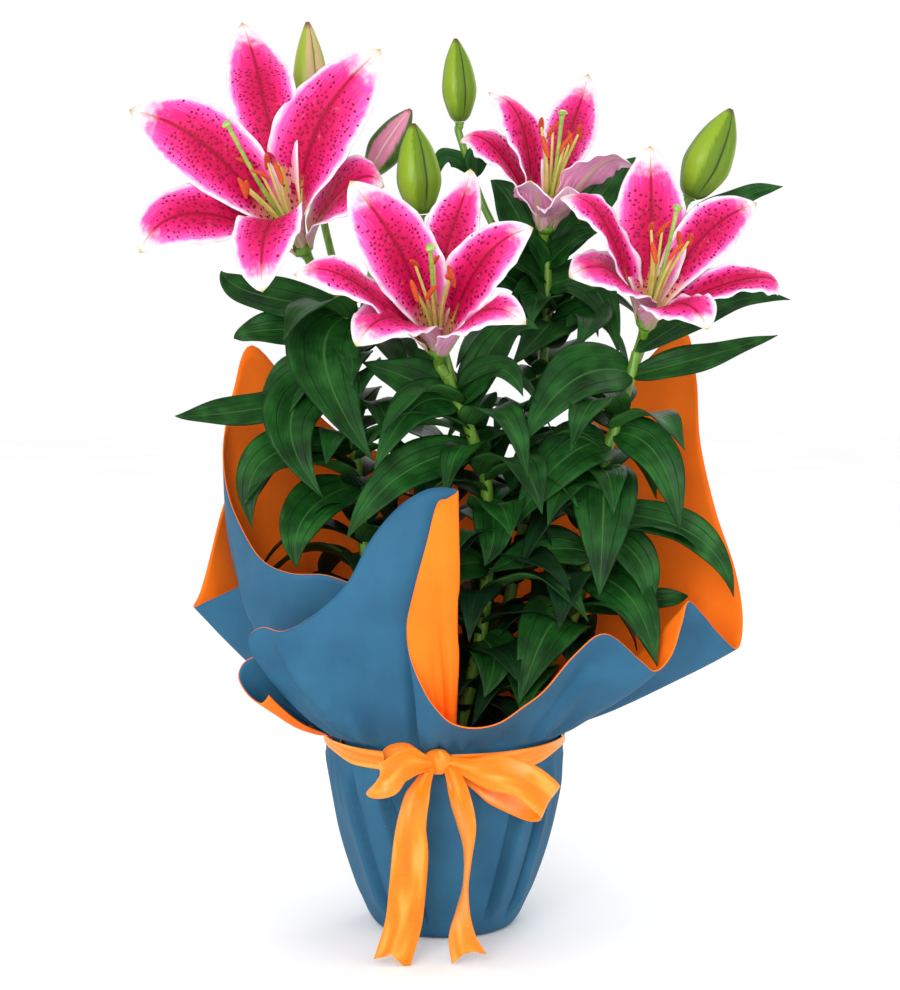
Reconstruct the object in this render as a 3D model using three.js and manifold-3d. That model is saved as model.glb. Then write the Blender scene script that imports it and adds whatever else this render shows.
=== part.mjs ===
// A potted oriental lily: four open pink blooms and five buds on four leafy stems, which grow from
// bulbs in a soil-filled pot. A two-tone sheet wraps the pot and flares round the plant as a collar,
// and a ribbon ties it at the neck. Millimetres, +Z up, front towards -Y, with the origin at the
// centre of the wrapped pot's flat underside.
import * as THREE from "three";
import { mergeVertices } from "three/addons/utils/BufferGeometryUtils.js";
import Module from "manifold-3d";

const wasm = await Module();
wasm.setup();

// Driving dimensions.
const GAP = 0.35;
const POT = {
  base: 1.8, top: 139, baseRadius: 43.5, neckRadius: 76, rimRadius: 79.8, rimHeight: 13, wall: 2.2,
};
const DRAIN = { holes: 5, radius: 4, circle: 28 };
const SOIL = { top: 118, crown: 5 };
const BULB = { base: 42, height: 42, radius: 16.5 };
const STEM = { radius: 4.6, tipRadius: 3.6, pedicelRadius: 2.8 };
const SHEET = 1.2;
const NECK = { root: 141, bottom: 122, top: 144.5, inner: 80.6, outer: 86.2 };
const PLEAT = { depth: 3.2, count: 9, sides: 32 };
const BAND = { bottom: 127.5, top: 140.5, thickness: 1.2 };
const RIBBON = { width: 25, thickness: 1.2 };
const LEAF = { thickness: 1.7, fold: 0.22, wave: 2.2, waves: 1.6, steps: 4, innerSteps: 3 };
const TEPAL = { thickness: 1.3, groove: 1.1, wave: 2.6, waves: 2.1 };
const CUP = { height: 9, radius: 7.4 };
const STAMEN = { radius: 1.1, reach: 70, spread: 14, anther: 16, antherRadius: 1.8 };
const STIGMA = { radius: 3.4, styleRadius: 1.7 };

const TURN = 2 * Math.PI;
const UP = new THREE.Vector3(0, 0, 1);
const point = (x, y, z) => new THREE.Vector3(x, y, z);
const radians = (degrees) => (degrees * Math.PI) / 180;
const round = (angle, radius, z) => point(radius * Math.cos(angle), radius * Math.sin(angle), z);
const mix = (a, b, t) => a.clone().lerp(b, t);

// The wrap's collar from above, column by column, anticlockwise from the flap at the front left:
// the direction and radius in degrees and mm where the column leaves the neck, the point that it
// reaches on the free edge, and how far it bellies outwards on the way.
const COLLAR = [
  // The front flap, up to the fold that stands at the middle.
  [212, 82.6, -132, -88, 210, 6],
  [217, 82.6, -134, -93, 222, 8],
  [222, 82.6, -124, -99, 230, 10],
  [228, 82.6, -108, -106, 229, 12],
  [234, 82.6, -85, -112, 243, 14],
  [240, 82.6, -65, -115, 263, 16],
  [246, 82.6, -50, -117, 291, 18],
  [252, 82.6, -33, -117, 312, 18],
  [259, 82.6, -16, -115, 324, 18],
  [267, 82.6, -3, -113, 327, 16],
  [275, 82.6, 9, -112, 325, 14],
  // The lapel that folds back over the flap.
  [273, 84, 2, -118, 320, 13],
  [271, 84, -5, -120, 316, 13],
  [269, 84, -12, -123, 289, 13],
  [267, 84, -20, -124, 259, 12],
  [264, 84, -25, -124, 234, 11],
  [261, 84, -22, -125, 211, 9],
  // The low front edge.
  [263, 85.4, -13, -129, 190, 5],
  [267, 85.4, -3, -127, 176, 2],
  [273, 85.4, 7, -124, 168, -2],
  [281, 85.2, 22, -121, 165, -4],
  [291, 84.8, 38, -118, 168, -4],
  [300, 84.4, 53, -116, 178, -4],
  [308, 84, 68, -115, 190, -2],
  [315, 83.5, 88, -113, 214, 2],
  [321, 83.5, 109, -107, 227, 3],
  [328, 83.5, 134, -92, 206, 3],
  [334, 83.5, 146, -82, 197, 3],
  // The right side, out to the far corner.
  [340, 83.5, 158, -73, 207, 3],
  [345, 83.5, 165, -67, 229, 3],
  [350, 83.5, 170, -60, 243, 2],
  [355, 83.5, 182, -46, 231, 2],
  [360, 83.5, 197, -28, 213, 3],
  [366, 83.5, 212, -8, 201, 4],
  [374, 83.5, 218, 15, 221, 8],
  [382, 83.5, 215, 38, 253, 8],
  [392, 83.5, 203, 60, 295, 14],
  [402, 83.5, 193, 78, 345, 18],
  [411, 83.5, 191, 92, 395, 20],
  // The back, between its two tall peaks.
  [420, 83.5, 179, 100, 429, 22],
  [430, 83.5, 134, 112, 383, 22],
  [440, 83.5, 90, 117, 345, 22],
  [450, 83.5, 27, 118, 326, 22],
  [460, 83.5, -30, 117, 331, 22],
  [470, 83.5, -73, 112, 345, 22],
  [480, 83.5, -112, 103, 380, 22],
  [489, 83.5, -145, 84, 418, 20],
  // The left side, which dips and ends behind the flap.
  [498, 83.5, -158, 68, 385, 18],
  [507, 83.5, -164, 50, 350, 26],
  [517, 83.5, -160, 22, 320, 26],
  [528, 83.5, -147, -14, 295, 22],
  [539, 83.5, -129, -50, 272, 16],
  [549, 83.5, -106, -76, 265, 11],
  [559, 83.5, -80, -88, 265, 6],
  [568, 83.5, -56, -94, 256, 6],
];
// A corner of the sheet that stands out at the left as a pointed horn.
const HORN = [
  [150, 85, -156, 64, 298, 30],
  [157, 85, -163, 52, 304, 28],
  [163, 85, -172, 38, 268, 22],
  [168, 85, -180, 26, 238, 12],
  [171, 85, -184, 16, 228, 4],
  [175, 85, -172, 8, 234, 2],
  [180, 85, -155, 5, 242, 3],
  [185, 85, -140, 4, 250, 4],
];
// The tongue below the flap, with its lower edge rolled up.
const TONGUE = [
  [199, 85, -125, -70, 208, 3],
  [196, 85, -138, -71, 202, 2],
  [193, 85, -142, -72, 192, 1],
  [191, 85, -136, -75, 181, 2],
  [193, 85, -126, -85, 176, 4],
  [197, 85, -120, -91, 183, 4],
];

// Stems: the points that each centreline passes, from its bulb to its highest bloom.
const STEMS = [
  [[5, -32, 104], [5, -32, 126], [20, -30, 185], [30, -31, 250], [30, -33, 318], [25, -36, 340],
    [18, -40, 361], [9, -44, 382], [2, -47, 400]],
  [[36, -4, 104], [36, -4, 126], [66, -10, 175], [96, -14, 238], [113, -18, 335], [121, -20, 361],
    [130, -21, 392], [136, -19, 415]],
  [[13, 30, 104], [13, 30, 126], [34, 35, 180], [56, 40, 270], [70, 44, 380], [75, 44, 450], [75, 44, 480]],
  [[-30, 10, 104], [-30, 10, 126], [-46, 16, 200], [-62, 20, 300], [-66, 20, 380], [-68, 16, 430],
    [-80, 10, 462]],
];

// The bow: its knot, then two loops that come back to the knot and two tails that end in a notch. Each
// strip has its path, the directions of the ribbon's width along it and the steps it is split into.
const KNOT = { at: [-4, -94.5, 137], size: [9, 8, 9] };
const BOW = [
  { path: [[-9, -99, 136], [-19, -110, 139], [-28, -119, 139], [-38, -123, 132], [-46, -119, 130],
      [-42, -108, 135], [-33, -102, 139], [-21, -99, 138], [-8, -96, 135]],
    across: [[0, 0, 1], [0.2, 0, 1], [0.3, 0, 1], [0.4, 0, 0.9], [0.45, 0, 0.8], [0.4, 0, 0.9], [0.2, 0, 1],
      [0.1, 0, 1], [0, 0, 1]], steps: 9, notch: 0 },
  { path: [[4, -98, 137], [22, -111, 134], [40, -121, 134], [57, -126, 129], [69, -122, 117],
      [60, -111, 112], [44, -104, 117], [27, -98, 124], [7, -95, 133]],
    across: [[0, 0, 1], [0.1, 0, 1], [0.25, 0, 1], [0.45, 0, 0.9], [0.5, 0, 0.9], [0.45, 0, 0.9],
      [0.35, 0, 0.9], [0.2, 0, 1], [0, 0, 1]], steps: 9, notch: 0 },
  { path: [[-10, -99, 134], [-17, -108, 120], [-22, -110, 97], [-23, -112, 76], [-25, -113, 52],
      [-28, -114, 28], [-36, -115, 1.2]],
    across: [[0.8, -0.4, 0.3], [0.7, -0.7, 0.2], [0.8, -0.6, 0.1], [1, -0.2, 0.1], [1, 0, 0.1], [1, 0, 0.1],
      [1, 0, 0]], steps: 7, notch: 5 },
  { path: [[4, -99, 134], [10, -109, 117], [15, -111, 97], [16, -112, 76], [15, -112, 56], [13, -113, 35],
      [13, -114, 18], [17, -115, 5]],
    across: [[0.9, -0.4, -0.2], [0.7, -0.7, -0.1], [0.5, -0.8, 0], [0.2, -1, 0], [0.1, -1, 0], [0.4, -0.9, 0],
      [0.8, -0.6, 0], [1, -0.2, 0]], steps: 8, notch: 5 },
];

// Blooms: the receptacle, the stigma, and each tepal's tip, half width, the pitch of its tip above the
// plane across the bloom and the twist of its blade in degrees, then, as parts of its length, how far it
// rises along the bloom's axis before it turns out and how far it bows to the side.
const BLOOMS = [
  { stem: 3, base: [-99, 1, 485], stigma: [-148, -62, 571], inner: [
      [-220, -23, 584, 27, 15, -25, 0.5, 0], [-44, -31, 625, 30, 5, 35, 0.4, 0],
      [-121, -105, 457, 23, -55, -10, 0.6, 0.1]],
    outer: [[-146, 33, 651, 23, 15, 20, 0.65, -0.1], [-209, -57, 484, 24, -40, -35, 0.45, 0],
      [-42, -35, 530, 26, -90, 10, 0.3, 0.05]] },
  { stem: 0, base: [-4, -50, 415], stigma: [-9, -120, 486], inner: [
      [-63, -97, 531, 26, 30, -10, 0.45, 0], [60, -90, 500, 20, -15, 20, 0.3, 0],
      [-57, -153, 422, 22, -15, 0, 0.3, -0.05]],
    outer: [[18, -63, 541, 18, 75, 30, 0.65, 0.05], [53, -155, 436, 19, -30, 5, 0.15, -0.05],
      [-99, -118, 468, 18, -45, 0, 0.3, 0.1]] },
  { stem: 2, base: [73, 39, 501], stigma: [84, 5, 584], inner: [
      [108, 96, 621, 19, 50, 15, 0.55, 0], [11, 27, 565, 18, -60, -15, 0.25, 0.05],
      [87, -12, 532, 18, 75, 10, 0.35, 0.1]],
    outer: [[32, 31, 601, 18, -5, -10, 0.3, 0], [134, 4, 546, 18, -45, -40, 0.4, -0.1],
      [61, -4, 536, 18, 40, 5, 0.4, 0]] },
  { stem: 1, base: [142, -15, 432], stigma: [159, -68, 514], inner: [
      [145, -12, 560, 25, 45, -10, 0.35, 0], [233, -33, 455, 18, -90, 0, 0.3, 0],
      [85, -78, 467, 26, -35, 0, 0.3, -0.05]],
    outer: [[224, 14, 521, 19, -5, 35, 0.5, 0], [177, -97, 432, 20, -45, 15, 0.3, -0.1],
      [80, -36, 522, 18, -45, 0, 0.35, 0.05]] },
];

// Buds: the stem that bears each, where its stalk leaves the stem, the stalk's bend, its base, tip
// and radius.
const BUDS = [
  { stem: 3, from: [-68, 16, 432], bend: [-86, 36, 500], base: [-97, 38, 565],
    tip: [-99, 35, 652], radius: 13.5 },
  { stem: 2, from: [75, 44, 452], bend: [34, 54, 510], base: [11, 60, 583],
    tip: [8, 60, 643], radius: 12.5 },
  { stem: 0, from: [12, -43, 376], bend: [-6, -28, 440], base: [-17, -20, 512],
    tip: [-22, -22, 575], radius: 15.5 },
  { stem: 3, from: [-67, 18, 415], bend: [-52, 24, 480], base: [-53, 22, 543],
    tip: [-24, 16, 588], radius: 12.5 },
  { stem: 1, from: [128, -20, 386], bend: [154, 14, 450], base: [176, 14, 526],
    tip: [205, 14, 588], radius: 17 },
];

// Leaves that give the plant its outline: the stem, the height on it, the point at the leaf's
// middle, its tip and its half width.
const LEAVES = [
  [3, 385, -148, -5, 372, -191, -20, 370, 14],
  [3, 430, -127, 5, 430, -151, 5, 424, 15],
  [3, 446, -136, 12, 456, -161, 15, 473, 17],
  [3, 440, -84, -28, 406, -49, -62, 341, 28],
  [3, 400, -108, -25, 370, -84, -52, 314, 23],
  [3, 345, -128, -10, 338, -136, -24, 290, 18],
  [3, 318, -98, -32, 300, -103, -52, 265, 20],
  [3, 372, -104, 30, 402, -138, 44, 372, 16],
  [0, 378, -20, -60, 378, -48, -84, 335, 18],
  [0, 348, -31, -60, 330, -67, -80, 288, 18],
  [0, 312, 30, -60, 288, 21, -70, 258, 15],
  [0, 380, 36, -64, 404, 54, -78, 386, 14],
  [0, 212, 30, -60, 200, 19, -78, 168, 19],
  [0, 265, 0, -62, 262, -22, -78, 226, 17],
  [1, 398, 185, -22, 412, 237, -12, 427, 12],
  [1, 415, 200, 16, 448, 249, 12, 452, 12],
  [1, 400, 90, -48, 396, 54, -70, 353, 24],
  [1, 350, 82, -50, 340, 46, -82, 294, 22],
  [1, 335, 111, -52, 305, 107, -72, 247, 24],
  [1, 358, 150, -36, 340, 165, -46, 284, 18],
  [1, 300, 176, -20, 286, 205, -32, 242, 15],
  [1, 288, 138, -34, 270, 141, -50, 238, 15],
  [1, 255, 130, -46, 244, 147, -74, 200, 20],
  [1, 232, 152, -4, 236, 175, -12, 240, 10],
  [1, 272, 62, -48, 270, 17, -76, 238, 19],
  [1, 222, 72, -58, 222, 51, -84, 174, 24],
  [2, 466, 50, 36, 524, 32, 34, 552, 17],
  [2, 478, 116, 46, 530, 140, 48, 556, 16],
  [2, 440, 40, 20, 470, 8, 2, 452, 20],
  [2, 420, 104, 10, 440, 92, -26, 418, 20],
  [2, 430, 74, 6, 433, 47, -18, 405, 21],
  [2, 450, 66, 24, 458, 46, 4, 452, 17],
  [2, 460, 107, 26, 461, 125, 2, 413, 18],
  [2, 472, 62, 26, 495, 48, 12, 496, 10],
  [2, 476, 94, 28, 495, 112, 18, 501, 12],
  [2, 456, 55, 22, 475, 38, 6, 479, 14],
  [2, 446, 103, 30, 476, 119, 14, 473, 13],
  [0, 372, 39, -44, 426, 67, -36, 431, 14],
  [0, 380, -25, -36, 396, -60, -30, 408, 19],
  [0, 366, -8, -18, 398, -19, -4, 418, 15],
];

// The small leaves on the stalks of the second, fourth and fifth bud.
const BRACTS = [
  { bud: 1, at: 0.72, middle: [2, 52, 556], tip: [-4, 44, 542], width: 9 },
  { bud: 1, at: 0.7, middle: [27, 52, 560], tip: [41, 46, 548], width: 9 },
  { bud: 3, at: 0.8, middle: [-55, 26, 574], tip: [-27, 25, 597], width: 6 },
  { bud: 4, at: 0.8, middle: [212, 32, 524], tip: [246, 34, 534], width: 11 },
];

// Filler leaves: how many on each stem, between which heights, and their sizes.
const FILL = { perStem: [13, 14, 15, 12], from: 150, to: [370, 385, 450, 420], length: [88, 120],
  width: [17, 24], droop: [12, 44], golden: radians(137.5), seed: 20417 };

// Bends tried in turn until a leaf is clear of its neighbours: the turn about the stem in degrees,
// the lift of the tip and the share of the length kept.
const BENDS = [
  [0, 0, 1], [0, 6, 1], [0, -6, 1], [6, 0, 1], [-6, 0, 1], [10, 8, 0.96], [-10, 8, 0.96], [12, -8, 0.94],
  [-12, -8, 0.94], [20, 0, 0.9], [-20, 0, 0.9], [0, 20, 0.85], [0, -16, 0.85], [32, 10, 0.8], [-32, 10, 0.8],
];

// The most that a leaf may cut into another of its stem, mm3.
const MOST_CROSSED = 14;

// One closed solid from shared vertices and triangles, turned to face outwards.
function solidOf(positions, triangles) {
  const make = (triVerts) => new wasm.Manifold(new wasm.Mesh({
    numProp: 3, vertProperties: new Float32Array(positions), triVerts: new Uint32Array(triVerts) }));
  const made = make(triangles);
  if (made.volume() > 0) return made;
  const turned = [];
  for (let i = 0; i < triangles.length; i += 3) turned.push(triangles[i], triangles[i + 2], triangles[i + 1]);
  return make(turned);
}

// A three.js geometry as a solid.
function solidFrom(geometry) {
  const bare = geometry.clone();
  bare.deleteAttribute("normal");
  bare.deleteAttribute("uv");
  const merged = mergeVertices(bare, 1e-3);
  return solidOf(merged.attributes.position.array, merged.index.array);
}

const joined = (solids) => wasm.Manifold.union(solids);

// A smooth curve through points, read at t from 0 to 1.
function along(points, t) {
  const last = points.length - 1;
  const i = Math.min(Math.floor(t * last), last - 1);
  const f = t * last - i;
  const p0 = points[Math.max(i - 1, 0)];
  const p1 = points[i];
  const p2 = points[i + 1];
  const p3 = points[Math.min(i + 2, last)];
  const axis = (k) => {
    const [a, b, c, d] = [p0[k], p1[k], p2[k], p3[k]];
    return b + 0.5 * f * (c - a + f * (2 * a - 5 * b + 4 * c - d + f * (3 * (b - c) + d - a)));
  };
  return p1.map((value, k) => axis(k));
}

// A solid of round or lobed cross-sections, each with a centre, an axis, a radius and a shape.
function loft(sections, sides, shape = () => 1) {
  const positions = [];
  const triangles = [];
  let ahead = sections[1].centre.clone().sub(sections[0].centre).normalize();
  let right = Math.abs(ahead.z) < 0.9 ? UP.clone().cross(ahead) : point(1, 0, 0);
  const rings = sections.map((section, k) => {
    const next = sections[Math.min(k + 1, sections.length - 1)].centre;
    const before = sections[Math.max(k - 1, 0)].centre;
    ahead = next.clone().sub(before).normalize();
    right = right.clone().addScaledVector(ahead, -right.dot(ahead)).normalize();
    const left = ahead.clone().cross(right);
    if (section.radius === 0) {
      positions.push(...section.centre.toArray());
      return [positions.length / 3 - 1];
    }
    return Array.from({ length: sides }, (unused, j) => {
      const angle = (TURN * j) / sides;
      const r = section.radius * shape(angle, k / (sections.length - 1));
      const p = section.centre.clone();
      p.addScaledVector(right, r * Math.cos(angle)).addScaledVector(left, r * Math.sin(angle));
      positions.push(...p.toArray());
      return positions.length / 3 - 1;
    });
  });
  bridge(rings, triangles);
  for (const [ring, way] of [[rings[0], 1], [rings[rings.length - 1], -1]]) {
    for (let j = 1; j + 1 < ring.length; j++) {
      triangles.push(ring[0], ring[j + (way < 0 ? 0 : 1)], ring[j + (way < 0 ? 1 : 0)]);
    }
  }
  return solidOf(positions, triangles);
}

// Joins each ring of vertices to the next. A ring of one vertex is a pole.
function bridge(rings, triangles) {
  for (let k = 0; k + 1 < rings.length; k++) {
    const [a, b] = [rings[k], rings[k + 1]];
    const count = Math.max(a.length, b.length);
    for (let j = 0; j < count; j++) {
      const n = (j + 1) % count;
      if (a.length > 1) triangles.push(a[j], a[n], b[Math.min(j, b.length - 1)]);
      if (b.length > 1) triangles.push(a[Math.min(n, a.length - 1)], b[n], b[j]);
    }
  }
}

// A thin leaf-like solid round the surface at(t, w), thickest along the middle, with sharp edges.
function blade(at, thickness, steps, across) {
  const positions = [];
  const triangles = [];
  const small = 1e-3;
  const place = (p) => positions.push(...p.toArray()) / 3 - 1;
  const faces = [];
  for (let i = 0; i <= steps; i++) {
    const t = i / steps;
    const top = [];
    const under = [];
    for (let j = 0; j <= across; j++) {
      const w = (2 * j) / across - 1;
      const p = at(t, w);
      if (i === steps) {
        top.push(j ? top[0] : place(p));
        under.push(top[0]);
        continue;
      }
      const downT = at(Math.min(t + small, 1), w).sub(at(Math.max(t - small, 0), w));
      const normal = downT.cross(at(t, w + small).sub(at(t, w - small))).normalize();
      const half = j === 0 || j === across ? 0 : thickness / 2;
      top.push(place(p.clone().addScaledVector(normal, half)));
      under.push(half ? place(p.addScaledVector(normal, -half)) : top[j]);
    }
    faces.push([top, under]);
  }
  const quad = (a, b, c, d) => {
    if (a !== b && b !== c) triangles.push(a, b, c);
    if (c !== d && d !== a) triangles.push(a, c, d);
  };
  for (let i = 0; i < steps; i++) {
    for (let j = 0; j < across; j++) {
      const [now, next] = [faces[i], faces[i + 1]];
      const [a, b, c, d] = [now[0][j], next[0][j], next[0][j + 1], now[0][j + 1]];
      const [e, f, g, h] = [now[1][j], next[1][j], next[1][j + 1], now[1][j + 1]];
      if (b === c) {
        triangles.push(a, b, d, e, h, f);
      } else {
        triangles.push(a, b, c, a, c, d, e, g, f, e, h, g);
      }
    }
  }
  const [top, under] = faces[0];
  for (let j = 0; j < across; j++) quad(top[j], top[j + 1], under[j + 1], under[j]);
  return solidOf(positions, triangles);
}

// A sheet of even thickness round a grid of points, split alike on both faces.
function sheet(grid, thickness) {
  const positions = [];
  const triangles = [];
  const [rows, columns] = [grid.length, grid[0].length];
  const side = [0.5, -0.5].map((way) => grid.map((row, i) => row.map((p, j) => {
    const down = grid[Math.min(i + 1, rows - 1)][j].clone().sub(grid[Math.max(i - 1, 0)][j]);
    const over = row[Math.min(j + 1, columns - 1)].clone().sub(row[Math.max(j - 1, 0)]);
    const normal = down.cross(over).normalize();
    positions.push(...p.clone().addScaledVector(normal, way * thickness).toArray());
    return positions.length / 3 - 1;
  })));
  const [top, under] = side;
  const [end, edge] = [rows - 1, columns - 1];
  const quad = (a, b, c, d) => triangles.push(a, b, c, a, c, d);
  for (let i = 0; i < end; i++) {
    for (let j = 0; j < edge; j++) {
      const [a, b, c, d] = [top[i][j], top[i + 1][j], top[i + 1][j + 1], top[i][j + 1]];
      const [e, f, g, h] = [under[i][j], under[i + 1][j], under[i + 1][j + 1], under[i][j + 1]];
      triangles.push(a, b, c, a, c, d, e, g, f, e, h, g);
    }
    quad(top[i + 1][0], top[i][0], under[i][0], under[i + 1][0]);
    quad(top[i][edge], top[i + 1][edge], under[i + 1][edge], under[i][edge]);
  }
  for (let j = 0; j < edge; j++) {
    quad(top[0][j], top[0][j + 1], under[0][j + 1], under[0][j]);
    quad(top[end][j + 1], top[end][j], under[end][j], under[end][j + 1]);
  }
  return solidOf(positions, triangles);
}

// A lathe about the Z axis through [radius, z] points.
function turned(profile, segments) {
  const geometry = new THREE.LatheGeometry(profile.map(([r, z]) => new THREE.Vector2(r, z)), segments);
  return solidFrom(geometry.rotateX(Math.PI / 2));
}

function post(x, y, bottom, top, radius, sides) {
  const geometry = new THREE.CylinderGeometry(radius, radius, top - bottom, sides);
  return solidFrom(geometry.rotateX(Math.PI / 2).translate(x, y, (top + bottom) / 2));
}

// The nursery pot: a tapered tub with a thick rim and drain holes.
function pot() {
  const { base, top, baseRadius, neckRadius, rimRadius, rimHeight, wall } = POT;
  const shell = turned([
    [0, base], [baseRadius, base], [neckRadius, top - rimHeight], [rimRadius, top - rimHeight],
    [rimRadius, top], [rimRadius - wall, top], [neckRadius - wall, top - rimHeight],
    [baseRadius - wall, base + wall], [0, base + wall]], 24);
  const drains = Array.from({ length: DRAIN.holes }, (unused, i) => {
    const centre = round((TURN * i) / DRAIN.holes, DRAIN.circle, 0);
    return post(centre.x, centre.y, base - 1, base + wall + 1, DRAIN.radius, 6);
  });
  return shell.subtract(joined(drains));
}

// A scaly bulb: the scales show as staggered lobes round it.
function bulb([x, y]) {
  const profile = [[0, 0], [0.66, 0.05], [1, 0.36], [0.84, 0.62], [0.5, 0.86], [0.26, 1]];
  const sections = profile.map(([r, z]) => ({
    centre: point(x, y, BULB.base + z * BULB.height), radius: r * BULB.radius }));
  return loft(sections, 10, (angle, t) => 1 + 0.06 * Math.cos(5 * angle + Math.PI * Math.round(5 * t)));
}

// The soil that fills the pot, with a plain hole for each stem and a hollow for each bulb.
function soil() {
  const { base, wall, baseRadius, neckRadius, top, rimHeight } = POT;
  const floor = base + wall + GAP;
  const slope = (neckRadius - baseRadius) / (top - rimHeight - base);
  const inside = (z) => baseRadius - wall - GAP + slope * (z - base - wall);
  const mass = turned([
    [0, floor], [inside(floor) - GAP, floor], [inside(SOIL.top) - GAP, SOIL.top],
    [inside(SOIL.top) * 0.5, SOIL.top + SOIL.crown * 0.8], [0, SOIL.top + SOIL.crown]], 18);
  const wide = BULB.radius + 3.6;
  const hole = STEM.radius + 2.2;
  const hollow = turned([
    [0, -2.5], [wide - 5.5, -2.5], [wide, 15], [wide, 21], [hole, BULB.height + 2], [hole, 100], [0, 100],
  ], 8);
  return mass.subtract(joined(STEMS.map(([[x, y]]) => hollow.translate([x, y, BULB.base]))));
}

// The wrap's sleeve: it rounds under the pot, rises in soft pleats and is gathered at the neck.
function sleeve() {
  const outside = [[0, 46], [6, 54], [34, 66], [72, 77], [NECK.bottom, 85]];
  const rings = [];
  const positions = [];
  const triangles = [];
  const pole = (z) => {
    positions.push(0, 0, z);
    rings.push([positions.length / 3 - 1]);
  };
  const ring = (z, radius) => rings.push(Array.from({ length: PLEAT.sides }, (unused, j) => {
    const angle = (TURN * j) / PLEAT.sides;
    const free = THREE.MathUtils.smoothstep(z, 4, 60) * (1 - THREE.MathUtils.smoothstep(z, 100, NECK.bottom));
    const fold = Math.cos(PLEAT.count * angle + 1.1) + 0.6 * Math.cos(5 * angle + 0.4);
    positions.push(...round(angle, radius + (free * PLEAT.depth * fold) / 1.6, z).toArray());
    return positions.length / 3 - 1;
  }));
  pole(0);
  outside.forEach(([z, r]) => ring(z, r));
  ring(NECK.bottom + 3, NECK.outer);
  ring(NECK.top, NECK.outer);
  ring(NECK.top, NECK.inner);
  ring(NECK.bottom + 3, NECK.inner);
  outside.slice(1).reverse().forEach(([z, r]) => ring(z + 0.3, r - SHEET));
  ring(SHEET, 46 - SHEET);
  pole(SHEET);
  bridge(rings, triangles);
  return solidOf(positions, triangles);
}

// The point at t on the arc from a to b that the control point draws out.
const arc = (a, control, b, t) => a.clone().multiplyScalar((1 - t) ** 2)
  .addScaledVector(control, 2 * t * (1 - t)).addScaledVector(b, t * t);

// The point of the collar's column [angle, radius, x, y, z, belly] at v, from its root to its edge.
function columnPoint([angle, radius, x, y, z, belly], v) {
  const root = round(radians(angle), radius, NECK.root);
  const rim = point(x, y, z);
  const middle = mix(root, rim, 0.5);
  const outwards = point(middle.x, middle.y, 0).normalize();
  const chord = rim.clone().sub(root);
  const reach = chord.dot(outwards);
  const length = Math.hypot(reach, chord.z);
  middle.addScaledVector(outwards, (belly * chord.z) / length).addScaledVector(UP, (-belly * reach) / length);
  const control = middle.multiplyScalar(2).addScaledVector(root, -0.5).addScaledVector(rim, -0.5);
  return arc(root, control, rim, v);
}

// A patch of the collar through its columns.
function collarPatch(columns) {
  return sheet(columns.map((column) => [0, 0.3, 0.65, 1].map((v) => columnPoint(column, v))), SHEET);
}

const wrap = () => joined([sleeve(), ...[COLLAR, HORN, TONGUE].map(collarPatch)]);

// A ribbon along points, each with the direction of its width. A cut end may be notched.
function ribbonStrip(points, widths, steps, notch) {
  const grid = Array.from({ length: steps + 1 }, (unused, i) => {
    const t = i / steps;
    const centre = point(...along(points, t));
    const across = point(...along(widths, t)).normalize().multiplyScalar(RIBBON.width / 2);
    return [-1, 0, 1].map((w) => {
      const p = centre.clone().addScaledVector(across, w);
      if (w === 0 && i === steps) p.z += notch;
      return p;
    });
  });
  return sheet(grid, RIBBON.thickness);
}

// The ribbon: a band round the neck, a knot, two loops and two tails with notched ends.
function ribbon() {
  const inner = NECK.outer + GAP + 0.15;
  const outer = inner + BAND.thickness;
  const band = turned([[inner, BAND.bottom], [outer, BAND.bottom], [outer, BAND.top], [inner, BAND.top],
    [inner, BAND.bottom]], PLEAT.sides);
  const [width, depth, height] = KNOT.size;
  const knot = solidFrom(new THREE.SphereGeometry(1, 7, 5).scale(width, depth, height).translate(...KNOT.at));
  const strips = BOW.map(({ path, across, steps, notch }) => ribbonStrip(path, across, steps, notch));
  return joined([band, knot, ...strips]);
}

// A wave along t that dies out at both ends.
const ripple = (t, waves, phase) => Math.sin(TURN * waves * t + phase) * Math.sin(Math.PI * t);

// A leaf's surface from its root, middle and tip: a keel along the midrib and waved edges.
function leafSurface(root, middle, tip, halfWidth, face, phase) {
  const control = middle.clone().multiplyScalar(2).addScaledVector(root, -0.5).addScaledVector(tip, -0.5);
  return (t, w) => {
    const p = arc(root, control, tip, t);
    const ahead = mix(control.clone().sub(root), tip.clone().sub(control), t);
    const side = ahead.clone().cross(face).normalize();
    const normal = side.clone().cross(ahead).normalize();
    const half = (halfWidth * (t + 0.003) ** 0.55 * (1 - t) ** 1.1) / 0.3586;
    const wave = LEAF.wave * ripple(t, LEAF.waves, phase + (w > 0 ? 1.3 : 0));
    p.addScaledVector(side, w * half);
    return p.addScaledVector(normal, Math.abs(w) * (LEAF.fold * half + wave));
  };
}

// A leaf turned about its stem, lifted and shortened by one of the bends.
function bentLeaf({ root, middle, tip, halfWidth, face, phase, steps }, [turn, lift, keep]) {
  const bend = (p, share) => p.clone().sub(root).applyAxisAngle(UP, radians(turn)).multiplyScalar(keep)
    .addScaledVector(UP, lift * share).add(root);
  return blade(leafSurface(root, bend(middle, 0.3), bend(tip, 1), halfWidth * keep ** 0.5, face, phase),
    LEAF.thickness, steps, 2);
}

// Draws that repeat on every run.
let draw = FILL.seed;
function random(low, high) {
  draw = (draw * 16807) % 2147483647;
  return low + ((high - low) * draw) / 2147483647;
}

function stemPointAt(curve, z) {
  let [low, high] = [0, 1];
  for (let i = 0; i < 30; i++) {
    const t = (low + high) / 2;
    if (along(curve, t)[2] < z) low = t;
    else high = t;
  }
  return point(...along(curve, low));
}

const FRONT_FACE = point(0, -0.8, 0.6);

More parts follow.
